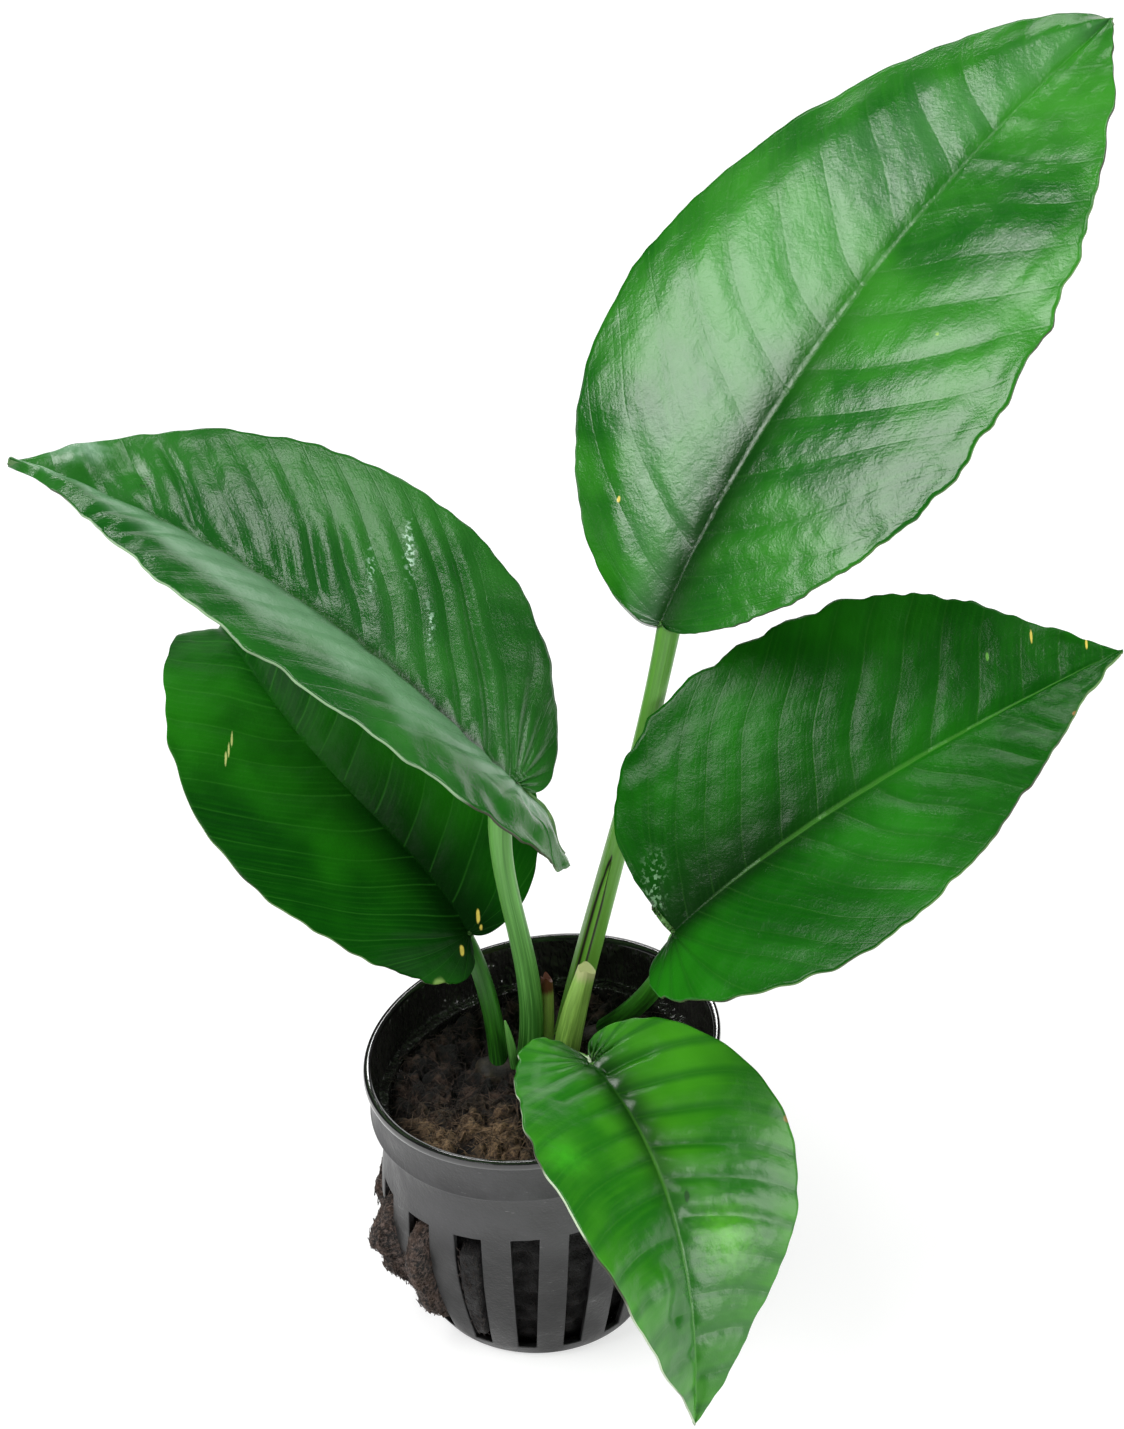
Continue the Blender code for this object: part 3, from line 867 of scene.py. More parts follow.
@dataclass
class Blade:
    """A blade with its midrib, its two halves and its finish.

    Attributes:
        name: The blade's name, which its nodes share.
        midrib: The midrib's control points.
        roll: How far the face is turned about the midrib at the stalk and at the tip.
        left: The left half.
        right: The right half.
        finish: Its skin.
        veins: How many main veins each half has.
        seed: Picks its own unevenness.
        thickness: The thickness of the sheet.
        lift: How far the face stands off the midrib's line.
        stations: How many faces lie along the margin of a half.
        rows: How many faces lie between midrib and margin.
        samples: How finely the midrib is measured.
        swell: How far the whole face bulges in and out.
        vein_lean: How far the veins run forward at the midrib and at the margin.
        groove_width: The half width of the groove on a vein, as a share of the space between two.
        fan: The angle between the veins that fan out behind the stalk.
        stagger: How far the left half's veins are ahead of the right half's.
        first_vein: The vein counts at the stalk, which keep the halves' patterns apart.
    """

    name: str
    midrib: tuple[Point, ...]
    roll: tuple[float, float]
    left: HalfBlade
    right: HalfBlade
    finish: LeafFinish
    veins: float = 12.0
    seed: int = 1
    thickness: float = 0.4
    lift: float = 0.2
    stations: int = 240
    rows: int = 48
    samples: int = 400
    swell: float = 0.4
    vein_lean: tuple[float, float] = (0.45, 1.15)
    groove_width: float = 0.17
    fan: float = 17.0
    stagger: float = 0.37
    first_vein: tuple[float, float] = (20.0, 60.0)

    def __post_init__(self) -> None:
        """Measure the midrib."""
        share = np.linspace(0, 1, self.samples + 1)
        self.line = bezier(self.midrib, share)
        self.stops = travelled(self.line)
        self.length = float(self.stops[-1])
        self.along = unit(np.gradient(self.line, axis=0))
        side = unit(np.cross(self.along, (0.0, 0.0, 1.0)))
        face = np.cross(side, self.along)
        turn = np.radians(self.roll[0] + (self.roll[1] - self.roll[0]) * self.stops / self.length)[:, None]
        self.side = side * np.cos(turn) + face * np.sin(turn)
        self.face = face * np.cos(turn) - side * np.sin(turn)
        picker = np.random.default_rng(self.seed)
        self.vein_depths = 0.25 + 0.75 * picker.random(64) ** 1.3
        self.vein_reach = 0.25 + 0.6 * picker.random(64)

    def spine(self, distance: np.ndarray) -> tuple[np.ndarray, ...]:
        """The midrib's point and directions at distances from the stalk.

        Args:
            distance: Distances along the midrib, which may lie beyond its ends.

        Returns:
            Points, directions along, to the side and off the face.
        """
        inside = np.clip(distance, 0, self.length)

        def read(table: np.ndarray) -> np.ndarray:
            """Read a table at the distances."""
            return np.stack([np.interp(inside, self.stops, table[:, k]) for k in range(3)], axis=-1)

        along = unit(read(self.along))
        point = read(self.line) + along * (distance - inside)[:, None]
        return point, along, unit(read(self.side)), unit(read(self.face))

    def waves(self, offset: int, length: float, count: int = 7) -> Undulation:
        """A swell of this blade's own."""
        return Undulation(self.seed + offset, length, count)

    def phase(self, half: HalfBlade, x: np.ndarray, y: np.ndarray) -> np.ndarray:
        """Count the veins: whole numbers lie on a main vein.

        Args:
            half: The half of the blade.
            x: Distances along the midrib.
            y: Distances beside it.

        Returns:
            The vein count at each place.
        """
        low, high = self.vein_lean
        start = x - low * y - (high - low) * y * y / (2 * half.width)
        spread = np.maximum(start, 0) / self.length
        front = self.veins * spread**0.9
        lean = low + (high - low) * y / (2 * half.width)
        behind = np.arctan2(y, x) - np.arctan2(1.0, lean)
        back = -np.degrees(np.maximum(behind, 0)) / self.fan
        count = np.where(start > 0, front, back)
        return count + 0.16 * self.waves(0, 24.0).at(x, y)

    def pleats(self, half: HalfBlade, y: np.ndarray, spots: Spots) -> np.ndarray:
        """The grooves on the veins and the swell between them.

        Args:
            half: The half of the blade.
            y: Distances beside the midrib, below 0 on the left.
            spots: The places.

        Returns:
            Heights in millimetres.
        """
        x, across = spots.x, spots.across
        vein = np.round(spots.phase).astype(int) % len(self.vein_depths)
        away = spots.phase - np.round(spots.phase)
        deep = self.vein_depths[vein] * (1 - ramp(0.0, 0.4, across - self.vein_reach[vein]))
        groove = -deep * np.exp(-((away / self.groove_width) ** 2))
        between = -0.30 * np.cos(math.tau * spots.phase) * (0.7 + 0.5 * self.waves(5, 18.0).at(x, y))
        between *= 1 - 0.7 * ramp(0.45, 0.95, across)
        run = x / self.length
        show = ramp(0.0, 0.2, run + 0.16) * (1 - ramp(0.84, 1.0, run)) * (1 - half.fade * ramp(0.25, 0.60, run))
        show *= ramp(0.0, 0.13, across) * (1 - 0.5 * ramp(0.8, 1.0, across))
        return half.pleat * (groove + between) * show * (1 + 0.45 * self.waves(7, 26.0).at(x, y))

    def relief(self, half: HalfBlade, side: Side, spots: Spots) -> np.ndarray:
        """How far the skin stands off the smooth blade.

        Args:
            half: The half of the blade.
            side: Which half it is.
            spots: The places.

        Returns:
            Heights in millimetres.
        """
        x, across = spots.x, spots.across
        y = side.value * spots.y
        height = self.pleats(half, y, spots)
        height -= 0.20 * np.exp(-((y / 1.3) ** 2)) + 0.10 * np.exp(-((y / 0.4) ** 2))
        height += self.swell * self.waves(13, 30.0).at(x, y) * ramp(0.05, 0.5, across)
        height += 0.05 * self.waves(17, 3.2, 9).at(x, y)
        ruffle = 0.7 * self.waves(3, 14.0).at(x, y) + 0.5 * self.waves(4, 6.0).at(x, y)
        height += half.ruffle * ruffle * ramp(0.70, 1.0, across)
        height += half.crown * 4 * across * (1 - across)
        near_stalk = (1 - ramp(-2.0, 14.0, x)) * ramp(0.25, 0.7, across)
        height += half.crumple * self.waves(6, 7.0, 9).at(x, y) * near_stalk
        for bump_x, bump_y, radius, rise in half.bumps:
            height += rise * np.exp(-((x - bump_x) ** 2 + (spots.y - bump_y) ** 2) / radius**2)
        return height - half.edge_drop * ramp(0.66, 1.15, across) * 2 + self.lift

    def margin(self, half: HalfBlade, side: Side, share: np.ndarray) -> tuple[np.ndarray, np.ndarray]:
        """The scalloped margin of the flat half.

        Args:
            half: The half of the blade.
            side: Which half it is.
            share: How far round the margin, from the stalk at 0 to the tip at 1.

        Returns:
            Distances along and beside the midrib.
        """
        x, y = half.outline(self.length, share)
        wave = half.scallop * self.waves(31 + side.value, 9.0, 5).at(x, y)
        wave += 0.45 * half.scallop * self.waves(41 + side.value, 3.6, 5).at(x, y)
        wave *= ramp(0.02, 0.12, share) * (1 - ramp(0.93, 1.0, share))
        torn = half.tatter * self.waves(51 + side.value, 3.0).at(x, y)
        wave += torn * ramp(0.02, 0.08, share) * (1 - ramp(0.16, 0.34, share))
        return x, np.maximum(y + wave, 0.0)

    def bend(self, half: HalfBlade, side: Side, x: np.ndarray, y: np.ndarray) -> tuple[np.ndarray, np.ndarray]:
        """Fold and curl the flat half.

        Args:
            half: The half of the blade.
            side: Which half it is.
            x: Distances along the midrib.
            y: Distances beside it.

        Returns:
            Points on the smooth skin, and the directions off it.
        """
        point, _, out, face = self.spine(x)
        out = side.value * out
        fold, curl = math.radians(half.fold), math.radians(half.curl_per_cm) / 10
        angle = fold - curl * y
        beside = (math.sin(fold) - np.sin(angle)) / curl
        above = (np.cos(angle) - math.cos(fold)) / curl
        tilt = angle * (1 - np.exp(-((y / 1.5) ** 2)))
        off = face * np.cos(tilt)[:, None] - out * np.sin(tilt)[:, None]
        return point + out * beside[:, None] + face * above[:, None], off

    def half_points(
        self, half: HalfBlade, side: Side, share: np.ndarray, across: np.ndarray
    ) -> tuple[np.ndarray, dict[str, np.ndarray]]:
        """Place points of one half.

        Args:
            half: The half of the blade.
            side: Which half it is.
            share: How far round the margin each point's row ends.
            across: How far out along the row each point is.

        Returns:
            Points in metres, and the numbers that the skin reads at them.
        """
        out_x, out_y = self.margin(half, side, share)
        origin = self.length * np.maximum(0.0, share - 0.14) / 0.86
        x = origin + (out_x - origin) * across**1.5
        y = out_y * across
        phase = self.phase(half, x, y) + (self.stagger if side is Side.LEFT else 0.0)
        skin, off = self.bend(half, side, x, y)
        height = self.relief(half, side, Spots(x, y, across, phase))
        # A painted shade beside the midrib, fading out towards the tip.
        midrib_shade = np.exp(-((y / (half.shade * half.width)) ** 2)) * (1 - ramp(0.15, 0.70, x / self.length))
        ragged = across + 0.1 * Undulation(5, 12.0).at(x, y)
        # Where the painted sheen lies: beside the midrib and short of the margin.
        painted_sheen = half.painted_sheen * ramp(0.03, 0.2, across) * (1 - ramp(0.50, 0.80, ragged))
        phase = phase + self.first_vein[side is Side.RIGHT]
        values = {"phase": phase, "across": across, "midrib_shade": midrib_shade, "painted_sheen": painted_sheen, "run": share}
        return (skin + off * height[:, None]) * MM, values

    def build(self, effects: SharedEffects) -> bpy.types.Object:
        """Make the blade."""
        bm = bmesh.new()
        layers = {key: bm.verts.layers.float.new(key) for key in ("phase", "across", "midrib_shade", "painted_sheen", "run")}
        for side, half in ((Side.LEFT, self.left), (Side.RIGHT, self.right)):
            grid = bmesh.ops.create_grid(bm, x_segments=self.rows, y_segments=self.stations, size=0.5)["verts"]
            flat = np.array([v.co[:2] for v in grid]) + 0.5
            places, values = self.half_points(half, side, flat[:, 1], flat[:, 0])
            for i, vert in enumerate(grid):
                vert.co = places[i]
                for key, layer in layers.items():
                    vert[layer] = values[key][i]
            if side is Side.LEFT:
                corners = set(grid)
                bmesh.ops.reverse_faces(bm, faces=[f for f in bm.faces if f.verts[0] in corners])
        bmesh.ops.remove_doubles(bm, verts=bm.verts, dist=0.01 * MM)
        mesh = to_mesh(bm, "blade_" + self.name, 60.0, outward=False)
        skins = [self.finish.upper(effects), self.finish.under(effects), self.finish.rim()]
        blade = add_piece("blade_" + self.name, mesh, skins)
        wall = blade.modifiers.new("Wall", "SOLIDIFY")
        wall.thickness = self.thickness * MM
        wall.offset = -1.0
        wall.material_offset = 1
        wall.material_offset_rim = 2
        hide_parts("leaf_" + self.name)
        return blade

    def keel(self, radius: float) -> tuple[np.ndarray, np.ndarray]:
        """The rib under the midrib, as an axis in mm and its radii."""
        reach = np.linspace(3.0, self.length * 0.96, 40)
        point, _, _, face = self.spine(reach)
        radii = radius * (1 - reach / self.length) ** 0.8 * 0.85 + 0.15
        return point - face * (radii + 0.40)[:, None], radii


# ---------------------------------------------------------------- stalks


@dataclass
class Stalk:
    """A leaf stalk that runs on as the rib under its blade, or a stub.

    Attributes:
        name: The name of its node.
        path: Its axis's control points.
        radii: Its radii's control values.
        finish: Its skin.
        blade: The blade that it carries.
        opening: Where its sheath closes, from where it narrows to its end, as shares of the stalk.
        ragged: How torn its end is.
        sides: How many sides it has.
        rings: How many rings it has below the blade.
        bend_rings: How many rings carry it round to the blade's rib.
        rib: How far its ribs stand out, as a share of its radius.
        gape: Half the open sheath's width at its widest, in radians.
        gape_bearing: Which way the open sheath faces, in radians from the front.
    """

    name: str
    path: tuple[Point, ...]
    radii: tuple[float, ...]
    finish: StalkFinish
    blade: Blade | None = None
    opening: tuple[float, float] | None = None
    ragged: float = 0.0
    sides: int = 32
    rings: int = 70
    bend_rings: int = 6
    rib: float = 0.035
    gape: float = 0.62
    gape_bearing: float = -0.45

    def axis(self) -> tuple[np.ndarray, np.ndarray]:
        """The stalk's axis and radii in mm, with the blade's rib after it."""
        share = np.linspace(0, 1, self.rings)
        radii = bezier([(r,) for r in self.radii], share)[:, 0]
        if self.blade is None:
            return bezier(self.path, share), radii
        point, _, _, face = self.blade.spine(np.array([-1.2]))
        line = bezier((*self.path[:3], point[0] - face[0] * (self.radii[-1] + 0.8)), share)
        keel, keel_radii = self.blade.keel(self.radii[-1])
        share = np.linspace(0, 1, self.bend_rings + 2)[1:-1]
        bend = bezier((line[-1], 2 * line[-1] - line[-3], 2 * keel[0] - keel[1], keel[0]), share)
        bend_radii = radii[-1] + (keel_radii[0] - radii[-1]) * share
        return np.vstack([line, bend, keel]), np.concatenate([radii, bend_radii, keel_radii])

    def gap(self, turn: float, share: float) -> float:
        """How deep in the open sheath a place is.

        Args:
            turn: Its bearing from the front, in radians.
            share: How far up the stalk it is.

        Returns:
            0 outside the sheath, and 1 in its middle.
        """
        if self.opening is None or share >= self.opening[1]:
            return 0.0
        width = self.gape * float(1 - ramp(*self.opening, np.array(share)))
        return max(0.0, 1 - abs(turn - self.gape_bearing) / max(width, 1e-3))

    def build(self) -> bpy.types.Object:
        """Make the stalk."""
        line, radii = self.axis()
        bm = bmesh.new()
        layers = {key: bm.verts.layers.float.new(key) for key in ("facing", "along", "opening")}
        rings = sweep(bm, line * MM, radii * MM, self.sides)
        travel = travelled(line)
        travel /= travel[self.rings - 1]
        ripples = Undulation(len(self.name), 1.1)
        for step, ring in enumerate(rings):
            centre = Vector(line[step] * MM)
            share = float(travel[step])
            tear = self.ragged * MM * float(ramp(0.85, 1.0, np.array(share)))
            for vert in ring:
                away = vert.co - centre
                turn = math.atan2(away.x, -away.y)
                gap = self.gap(turn, share)
                swell = float(ripples.at(np.array(math.cos(turn)), np.array(math.sin(turn) + 0.6 * share)))
                vert.co = centre + away * (1 + self.rib * swell - 0.38 * float(ramp(0.2, 0.9, np.array(gap))))
                vert.co.z += tear * math.sin(3 * turn + 2 * math.cos(turn))
                vert[layers["facing"]] = turn / math.pi
                vert[layers["along"]] = share
                vert[layers["opening"]] = gap
        piece = add_piece(self.name + "_skin", to_mesh(bm, self.name), [self.finish.skin()])
        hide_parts(self.name)
        return piece


# ---------------------------------------------------------------- pot


@dataclass
class NetPot:
    """The slotted pot, a little settled: its rings slope down to the left and its mouth has moved to the right.

    Attributes:
        height: The height of the lip.
        base_radius: The radius of the base.
        lip_radius: The radius over the lip.
        collar_radius: The radius of the collar.
        collar_bottom: Where the collar begins.
        shoulder_radius: The radius just under the collar.
        wall: The thickness of the wall.
        floor: The thickness of the floor.
        slots: How many slots there are.
        slot_bottom: Where the slots begin.
        slot_top: Where the slots end.
        slot_width_top: How wide a slot is at its top.
        slot_width_bottom: How wide a slot is at its bottom.
        front_slot: The bearing of the slot nearest the front.
        ring_slope: How steeply the upper rings slope down to the left.
        mouth_shift: How far the mouth has moved to the right.
        bulge: How far the wall has been pushed out on one side.
        bulge_top: Where the bulge ends.
        bulge_radius: The radius that the bulge is measured at.
        bulge_bearing: The bearing of the bulge.
        bulge_spread: How far the bulge reaches to either side of its bearing.
        columns: How many columns of faces each slot and its rib have.
        finish: Its plastic.
    """

    height: float = 47.8
    base_radius: float = 16.8
    lip_radius: float = 27.0
    collar_radius: float = 25.9
    collar_bottom: float = 39.6
    shoulder_radius: float = 24.2
    wall: float = 1.0
    floor: float = 1.2
    slots: int = 16
    slot_bottom: float = 2.5
    slot_top: float = 29.0
    slot_width_top: float = 4.4
    slot_width_bottom: float = 2.8
    front_slot: float = -7.0
    ring_slope: float = 0.12
    mouth_shift: float = 1.5
    bulge: float = 3.1
    bulge_top: float = 35.0
    bulge_radius: float = 22.0
    bulge_bearing: float = -90.0
    bulge_spread: float = 80.0
    columns: int = 12
    finish: PotFinish = PotFinish()

    def settle(self, points: np.ndarray) -> np.ndarray:
        """Where points of the round pot end up in the settled pot, in mm."""
        rise = np.clip(points[:, 2] / self.bulge_top, 0, 1)
        bearing = np.degrees(np.arctan2(points[:, 0], -points[:, 1]))
        away = np.abs((bearing - self.bulge_bearing + 180) % 360 - 180)
        push = self.bulge * np.sin(np.pi * rise) * np.cos(0.5 * np.pi * np.clip(away / self.bulge_spread, 0, 1))
        grow = 1 + push * np.hypot(points[:, 0], points[:, 1]) / self.bulge_radius**2
        share = np.clip(points[:, 2] / self.slot_top, 0, 1)
        moved = points.copy()
        moved[:, 0] = points[:, 0] * grow + self.mouth_shift * points[:, 2] / self.height
        moved[:, 1] = points[:, 1] * grow
        moved[:, 2] += points[:, 0] * self.ring_slope * share
        return moved

    def outer(self, height: np.ndarray) -> np.ndarray:
        """The outside radius of the slotted wall at a height."""
        share = np.clip(height / self.collar_bottom, 0, 1)
        return self.base_radius + (self.shoulder_radius - self.base_radius) * share**0.75

    def slot_half_width(self, height: np.ndarray) -> np.ndarray:
        """Half a slot's width at a height."""
        share = (height - self.slot_bottom) / (self.slot_top - self.slot_bottom)
        return 0.5 * (self.slot_width_bottom + (self.slot_width_top - self.slot_width_bottom) * share)

    def section(self) -> list[Point]:
        """The wall's section, up the outside and back down the inside."""
        rises = [self.slot_bottom, 7.0, 12.0, 18.0, 24.0, self.slot_top]
        low, above_slots = self.collar_bottom, 34.0
        foot = [(0.0, 0.6), (12.0, 0.6), (13.0, 0.0), (self.base_radius - 0.5, 0.0), (self.base_radius, 0.5)]
        outside = [(self.outer(z), z) for z in (*rises, above_slots)]
        shoulder = [
            (self.shoulder_radius, low - 0.7),
            (self.shoulder_radius + 0.2, low - 0.35),
            (self.collar_radius - 0.25, low - 0.1),
            (self.collar_radius + 0.12, low + 0.12),
            (self.collar_radius + 0.12, low + 0.5),
            (self.collar_radius - 0.02, low + 0.8),
        ]
        lip = [
            (self.lip_radius - inset, self.height - drop)
            for inset, drop in (
                (0.65, 1.7), (0.5, 1.35), (0.1, 1.15), (0.0, 0.9), (0.0, 0.4), (0.12, 0.12), (0.4, 0.0), (0.85, 0.0),
                (1.1, 0.15), (1.3, 0.6), (1.5, 1.6),
            )
        ]
        lining = [
            (self.collar_radius - 1.0, low + 1.5),
            (self.collar_radius - 1.2, low + 1.0),
            (self.shoulder_radius - self.wall, low + 0.7),
        ]
        inside = [(self.outer(z) - self.wall, z) for z in (above_slots, *rises[::-1])]
        floor = [(self.base_radius - self.wall, self.floor), (0.0, self.floor)]
        return [(r, 0.0, z) for r, z in foot + outside + shoulder + lip + lining + inside + floor]

    def skin(self, face: bmesh.types.BMFace) -> PotSkin:
        """Which part of the surface a face of the round pot is."""
        centre, normal = face.calc_center_median(), face.normal
        radius = math.hypot(centre.x, centre.y)
        if centre.z > self.height - 1.25 and radius > self.lip_radius - 1.4:
            return PotSkin.LIP
        inward = normal.x * centre.x + normal.y * centre.y < 0
        on_floor = normal.z > 0.5 and radius < self.base_radius + 0.2
        return PotSkin.WET if (inward or on_floor) and centre.z > self.floor - 0.1 else PotSkin.DRY

    def in_slot(self, face: bmesh.types.BMFace, pitch: float) -> bool:
        """Whether a face of the round pot lies in a slot.

        Args:
            face: The face.
            pitch: The angle from slot to slot.

        Returns:
            True where the slot is.
        """
        centre = face.calc_center_median()
        turn = (math.atan2(centre.y, centre.x) + pitch / 2) % pitch - pitch / 2
        in_wall = math.hypot(centre.x, centre.y) > self.base_radius - 1.2
        return in_wall and self.slot_bottom < centre.z < self.slot_top and abs(turn) < pitch / 4

    def line_slots(self, bm: bmesh.types.BMesh, pitch: float) -> None:
        """Close the wall round each slot, in the outside's plastic.

        Args:
            bm: The pot with its slots open.
            pitch: The angle from slot to slot.
        """
        by_slot: dict[int, list] = {}
        for edge in [e for e in bm.edges if e.is_boundary]:
            middle = (edge.verts[0].co + edge.verts[1].co) / 2
            by_slot.setdefault(round(math.atan2(middle.y, middle.x) / pitch) % self.slots, []).append(edge)
        for edges in by_slot.values():
            for face in bmesh.ops.bridge_loops(bm, edges=edges)["faces"]:
                face.material_index = PotSkin.DRY.value

    def build(self, effects: SharedEffects) -> bpy.types.Object:
        """Make the pot."""
        bm = lathe(self.section(), self.slots * self.columns, 1e-4)
        bmesh.ops.recalc_face_normals(bm, faces=bm.faces)
        pitch = math.tau / self.slots
        for face in bm.faces:
            face.material_index = self.skin(face).value
        bmesh.ops.delete(bm, geom=[face for face in bm.faces if self.in_slot(face, pitch)], context="FACES")
        self.line_slots(bm, pitch)
        for vert in bm.verts:
            self.place_vertex(vert, pitch)
        front = Matrix.Rotation(math.radians(self.front_slot) - math.pi / 2, 3, "Z")
        bmesh.ops.rotate(bm, verts=bm.verts, cent=(0, 0, 0), matrix=front)
        settled = self.settle(np.array([v.co for v in bm.verts])) * MM
        for vert, spot in zip(bm.verts, settled):
            vert.co = spot
        pot = add_piece("pot_shell", to_mesh(bm, "pot_shell", 35.0), self.finish.materials(effects))
        edge = pot.modifiers.new("Edges", "BEVEL")
        edge.width = 0.16 * MM
        edge.segments = 2
        edge.limit_method = "ANGLE"
        edge.angle_limit = math.radians(50)
        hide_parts("net_pot")
        return pot

    def place_vertex(self, vert: bmesh.types.BMVert, pitch: float) -> None:
        """Move a vertex along its ring, so that the slots taper.

        Args:
            vert: A vertex of the round pot.
            pitch: The angle from slot to slot.
        """
        radius = math.hypot(vert.co.x, vert.co.y)
        if radius < self.base_radius - 1.5:
            return
        bearing = math.atan2(vert.co.y, vert.co.x)
        slot = round(bearing / pitch)
        turn = bearing - slot * pitch
        level = min(max(vert.co.z, self.slot_bottom), self.slot_top)
        half = float(self.slot_half_width(np.array(level))) / radius
        quarter = pitch * 0.25
        if abs(turn) <= quarter:
            turned = turn / quarter * half
        else:
            turned = math.copysign(half + (abs(turn) - quarter) / (pitch / 2 - quarter) * (pitch / 2 - half), turn)
        blend = 1.0 if vert.co.z <= self.slot_top else max(0.0, 1 - (vert.co.z - self.slot_top) / 8)
        bearing = slot * pitch + turn + (turned - turn) * blend
        vert.co.x, vert.co.y = radius * math.cos(bearing), radius * math.sin(bearing)


# ---------------------------------------------------------------- wool


@dataclass
class RockWool:
    """The plug of wool, its tufts and its loose fibres.

    Attributes:
        pot: The pot that it fills.
        top: The mean height of its top.
        edge: The height of its edge at the wall.
        clearance: The gap to the wall.
        recess: How much farther back the wool may lie behind the slots.
        crack_depth: How deep the cracks in its top are.
        steps: How many columns it has.
        rows: How many rows its side has.
        top_rings: How many rings its top has.
        fibre_count: How many loose fibres lie on it.
        top_share: The share of the fibres that lie on its top.
        finish: Its fibre.
        tufts: The slots with a tuft, counted from the front one, and how far each tuft stands out.
        chances: How often a fibre lies at each of those slots, and at the two next to them.
    """

    pot: NetPot
    top: float = 40.6
    edge: float = 41.4
    clearance: float = 0.6
    recess: float = 1.6
    crack_depth: float = 3.2
    steps: int = 320
    rows: int = 60
    top_rings: int = 44
    fibre_count: int = 5200
    top_share: float = 0.62
    finish: WoolFinish = WoolFinish()
    tufts: tuple[tuple[int, float], ...] = ((-4, 2.2), (-3, 3.4), (-2, 3.2), (-1, 0.6))
    chances: tuple[float, ...] = (0.2, 0.27, 0.25, 0.16, 0.07, 0.05)

    def top_height(self, x: np.ndarray, y: np.ndarray) -> np.ndarray:
        """The lumpy top of the wool before the pot settled."""
        lumps = 0.6 * Undulation(5, 13.0).at(x, y) + 0.9 * Undulation(8, 5.0).at(x, y)
        crumbs = 0.42 * Undulation(9, 1.9, 9).at(x, y) + 0.2 * Undulation(10, 0.9, 9).at(x, y)
        return self.top + lumps + crumbs - self.crack_depth * self.crevice(x, y)

    def crevice(self, x: np.ndarray, y: np.ndarray) -> np.ndarray:
        """How deep in a crack between two lumps each place is, from 0 to 1."""
        wide = np.exp(-((Undulation(14, 8.0).at(x, y) / 0.24) ** 2))
        narrow = 0.6 * np.exp(-((Undulation(15, 4.0).at(x, y) / 0.18) ** 2))
        return np.maximum(wide, narrow)

    def wall_radius(self, bearing: np.ndarray, height: np.ndarray) -> np.ndarray:
        """How far the wool reaches on a bearing at a height."""
        pot = self.pot
        outer = pot.outer(height)
        radius = outer - pot.wall - self.clearance
        radius -= self.recess * (0.5 + 0.5 * Undulation(21, 5.0).at(bearing * 20, height))
        pitch = math.tau / pot.slots
        for slot, reach in self.tufts:
            away = (bearing - math.radians(pot.front_slot) - slot * pitch + math.pi) % math.tau - math.pi
            half = pot.slot_half_width(height) - 0.35
            across = np.abs(away) * outer / half
            rise = (height - 4.0) / 23.0
            lean = np.sin(np.pi * np.clip(rise, 0, 1) ** 0.8) * (rise > 0) * (rise < 1)
            lumps = 0.78 + 0.3 * Undulation(40 + slot, 7.0).at(bearing * 22, height)
            inside = np.clip((1.06 - across) / 0.22, 0, 1) * np.clip(lean * 5, 0, 1)
            bulge = outer + reach * lean * lumps * np.sqrt(np.clip(1.1 - across**2, 0, 1))
            radius = radius + (bulge - radius) * inside
        return radius

    def shape(self, drum: np.ndarray) -> tuple[np.ndarray, np.ndarray]:
        """Carry a plain drum to the wool's shape.

        Args:
            drum: The drum's points. Its radius is 1, and its top stands above its edge.

        Returns:
            The wool's points in mm before the pot settled, and how deep in a crack each lies.
        """
        pot = self.pot
        reach, level = np.hypot(drum[:, 0], drum[:, 1]), drum[:, 2]
        bearing = np.arctan2(drum[:, 0], -drum[:, 1])
        on_top = level > self.edge + 0.5
        brim = pot.collar_radius - 1.35
        wall = self.wall_radius(bearing, level)
        wall = np.where(level > pot.collar_bottom, np.minimum(wall + 0.4, brim), wall)
        radius = np.where(on_top, reach * brim, wall)
        x, y = np.sin(bearing) * radius, -np.cos(bearing) * radius
        crown = self.top_height(x, y)
        sunk = crown - 1.6 * ramp(0.90, 1.0, reach)
        in_neck = on_top & (sunk < pot.collar_bottom + 1.2)
        neck = pot.shoulder_radius - pot.wall - 0.4
        tight = np.where(in_neck, np.minimum(1.0, neck / np.maximum(radius, 1.0)), 1.0)
        x, y = x * tight, y * tight
        z = np.where(on_top, sunk, np.minimum(level, crown - 1.9))
        return np.stack([x, y, z], axis=1), np.where(on_top, self.crevice(x, y), 0.0)

    def build(self) -> bpy.types.Object:
        """Make the plug."""
        side = [(0.0, -1.0, z) for z in np.linspace(self.pot.floor + 0.4, self.edge, self.rows)]
        top = [(0.0, k / self.top_rings - 1, self.edge + 1.0) for k in range(1, self.top_rings)]
        bm = lathe(side + top, self.steps, 1e-5)
        bmesh.ops.holes_fill(bm, edges=[e for e in bm.edges if e.is_boundary], sides=0)
        layer = bm.verts.layers.float.new("crevice")
        spots, cracks = self.shape(np.array([v.co for v in bm.verts]))
        for vert, spot, crack_shade in zip(bm.verts, self.pot.settle(spots) * MM, cracks):
            vert.co = spot
            vert[layer] = crack_shade
        mesh = to_mesh(bm, "wool_plug", 180.0)
        plug = add_piece("wool_plug", mesh, [self.finish.material("wool_bed", 0.0)])
        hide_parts("rock_wool")
        return plug

    def strand(self) -> bpy.types.Mesh:
        """One short fibre along Z, one unit long and one thick, in three lengths."""
        bm = bmesh.new()
        bmesh.ops.create_cone(bm, cap_ends=True, segments=3, radius1=1.0, radius2=0.6, depth=1.0)
        upright = [e for e in bm.edges if abs(e.verts[0].co.z - e.verts[1].co.z) > 0.5]
        bmesh.ops.subdivide_edges(bm, edges=upright, cuts=2, use_grid_fill=True)
        mesh = bpy.data.meshes.new("fibre")
        bm.to_mesh(mesh)
        bm.free()
        return mesh

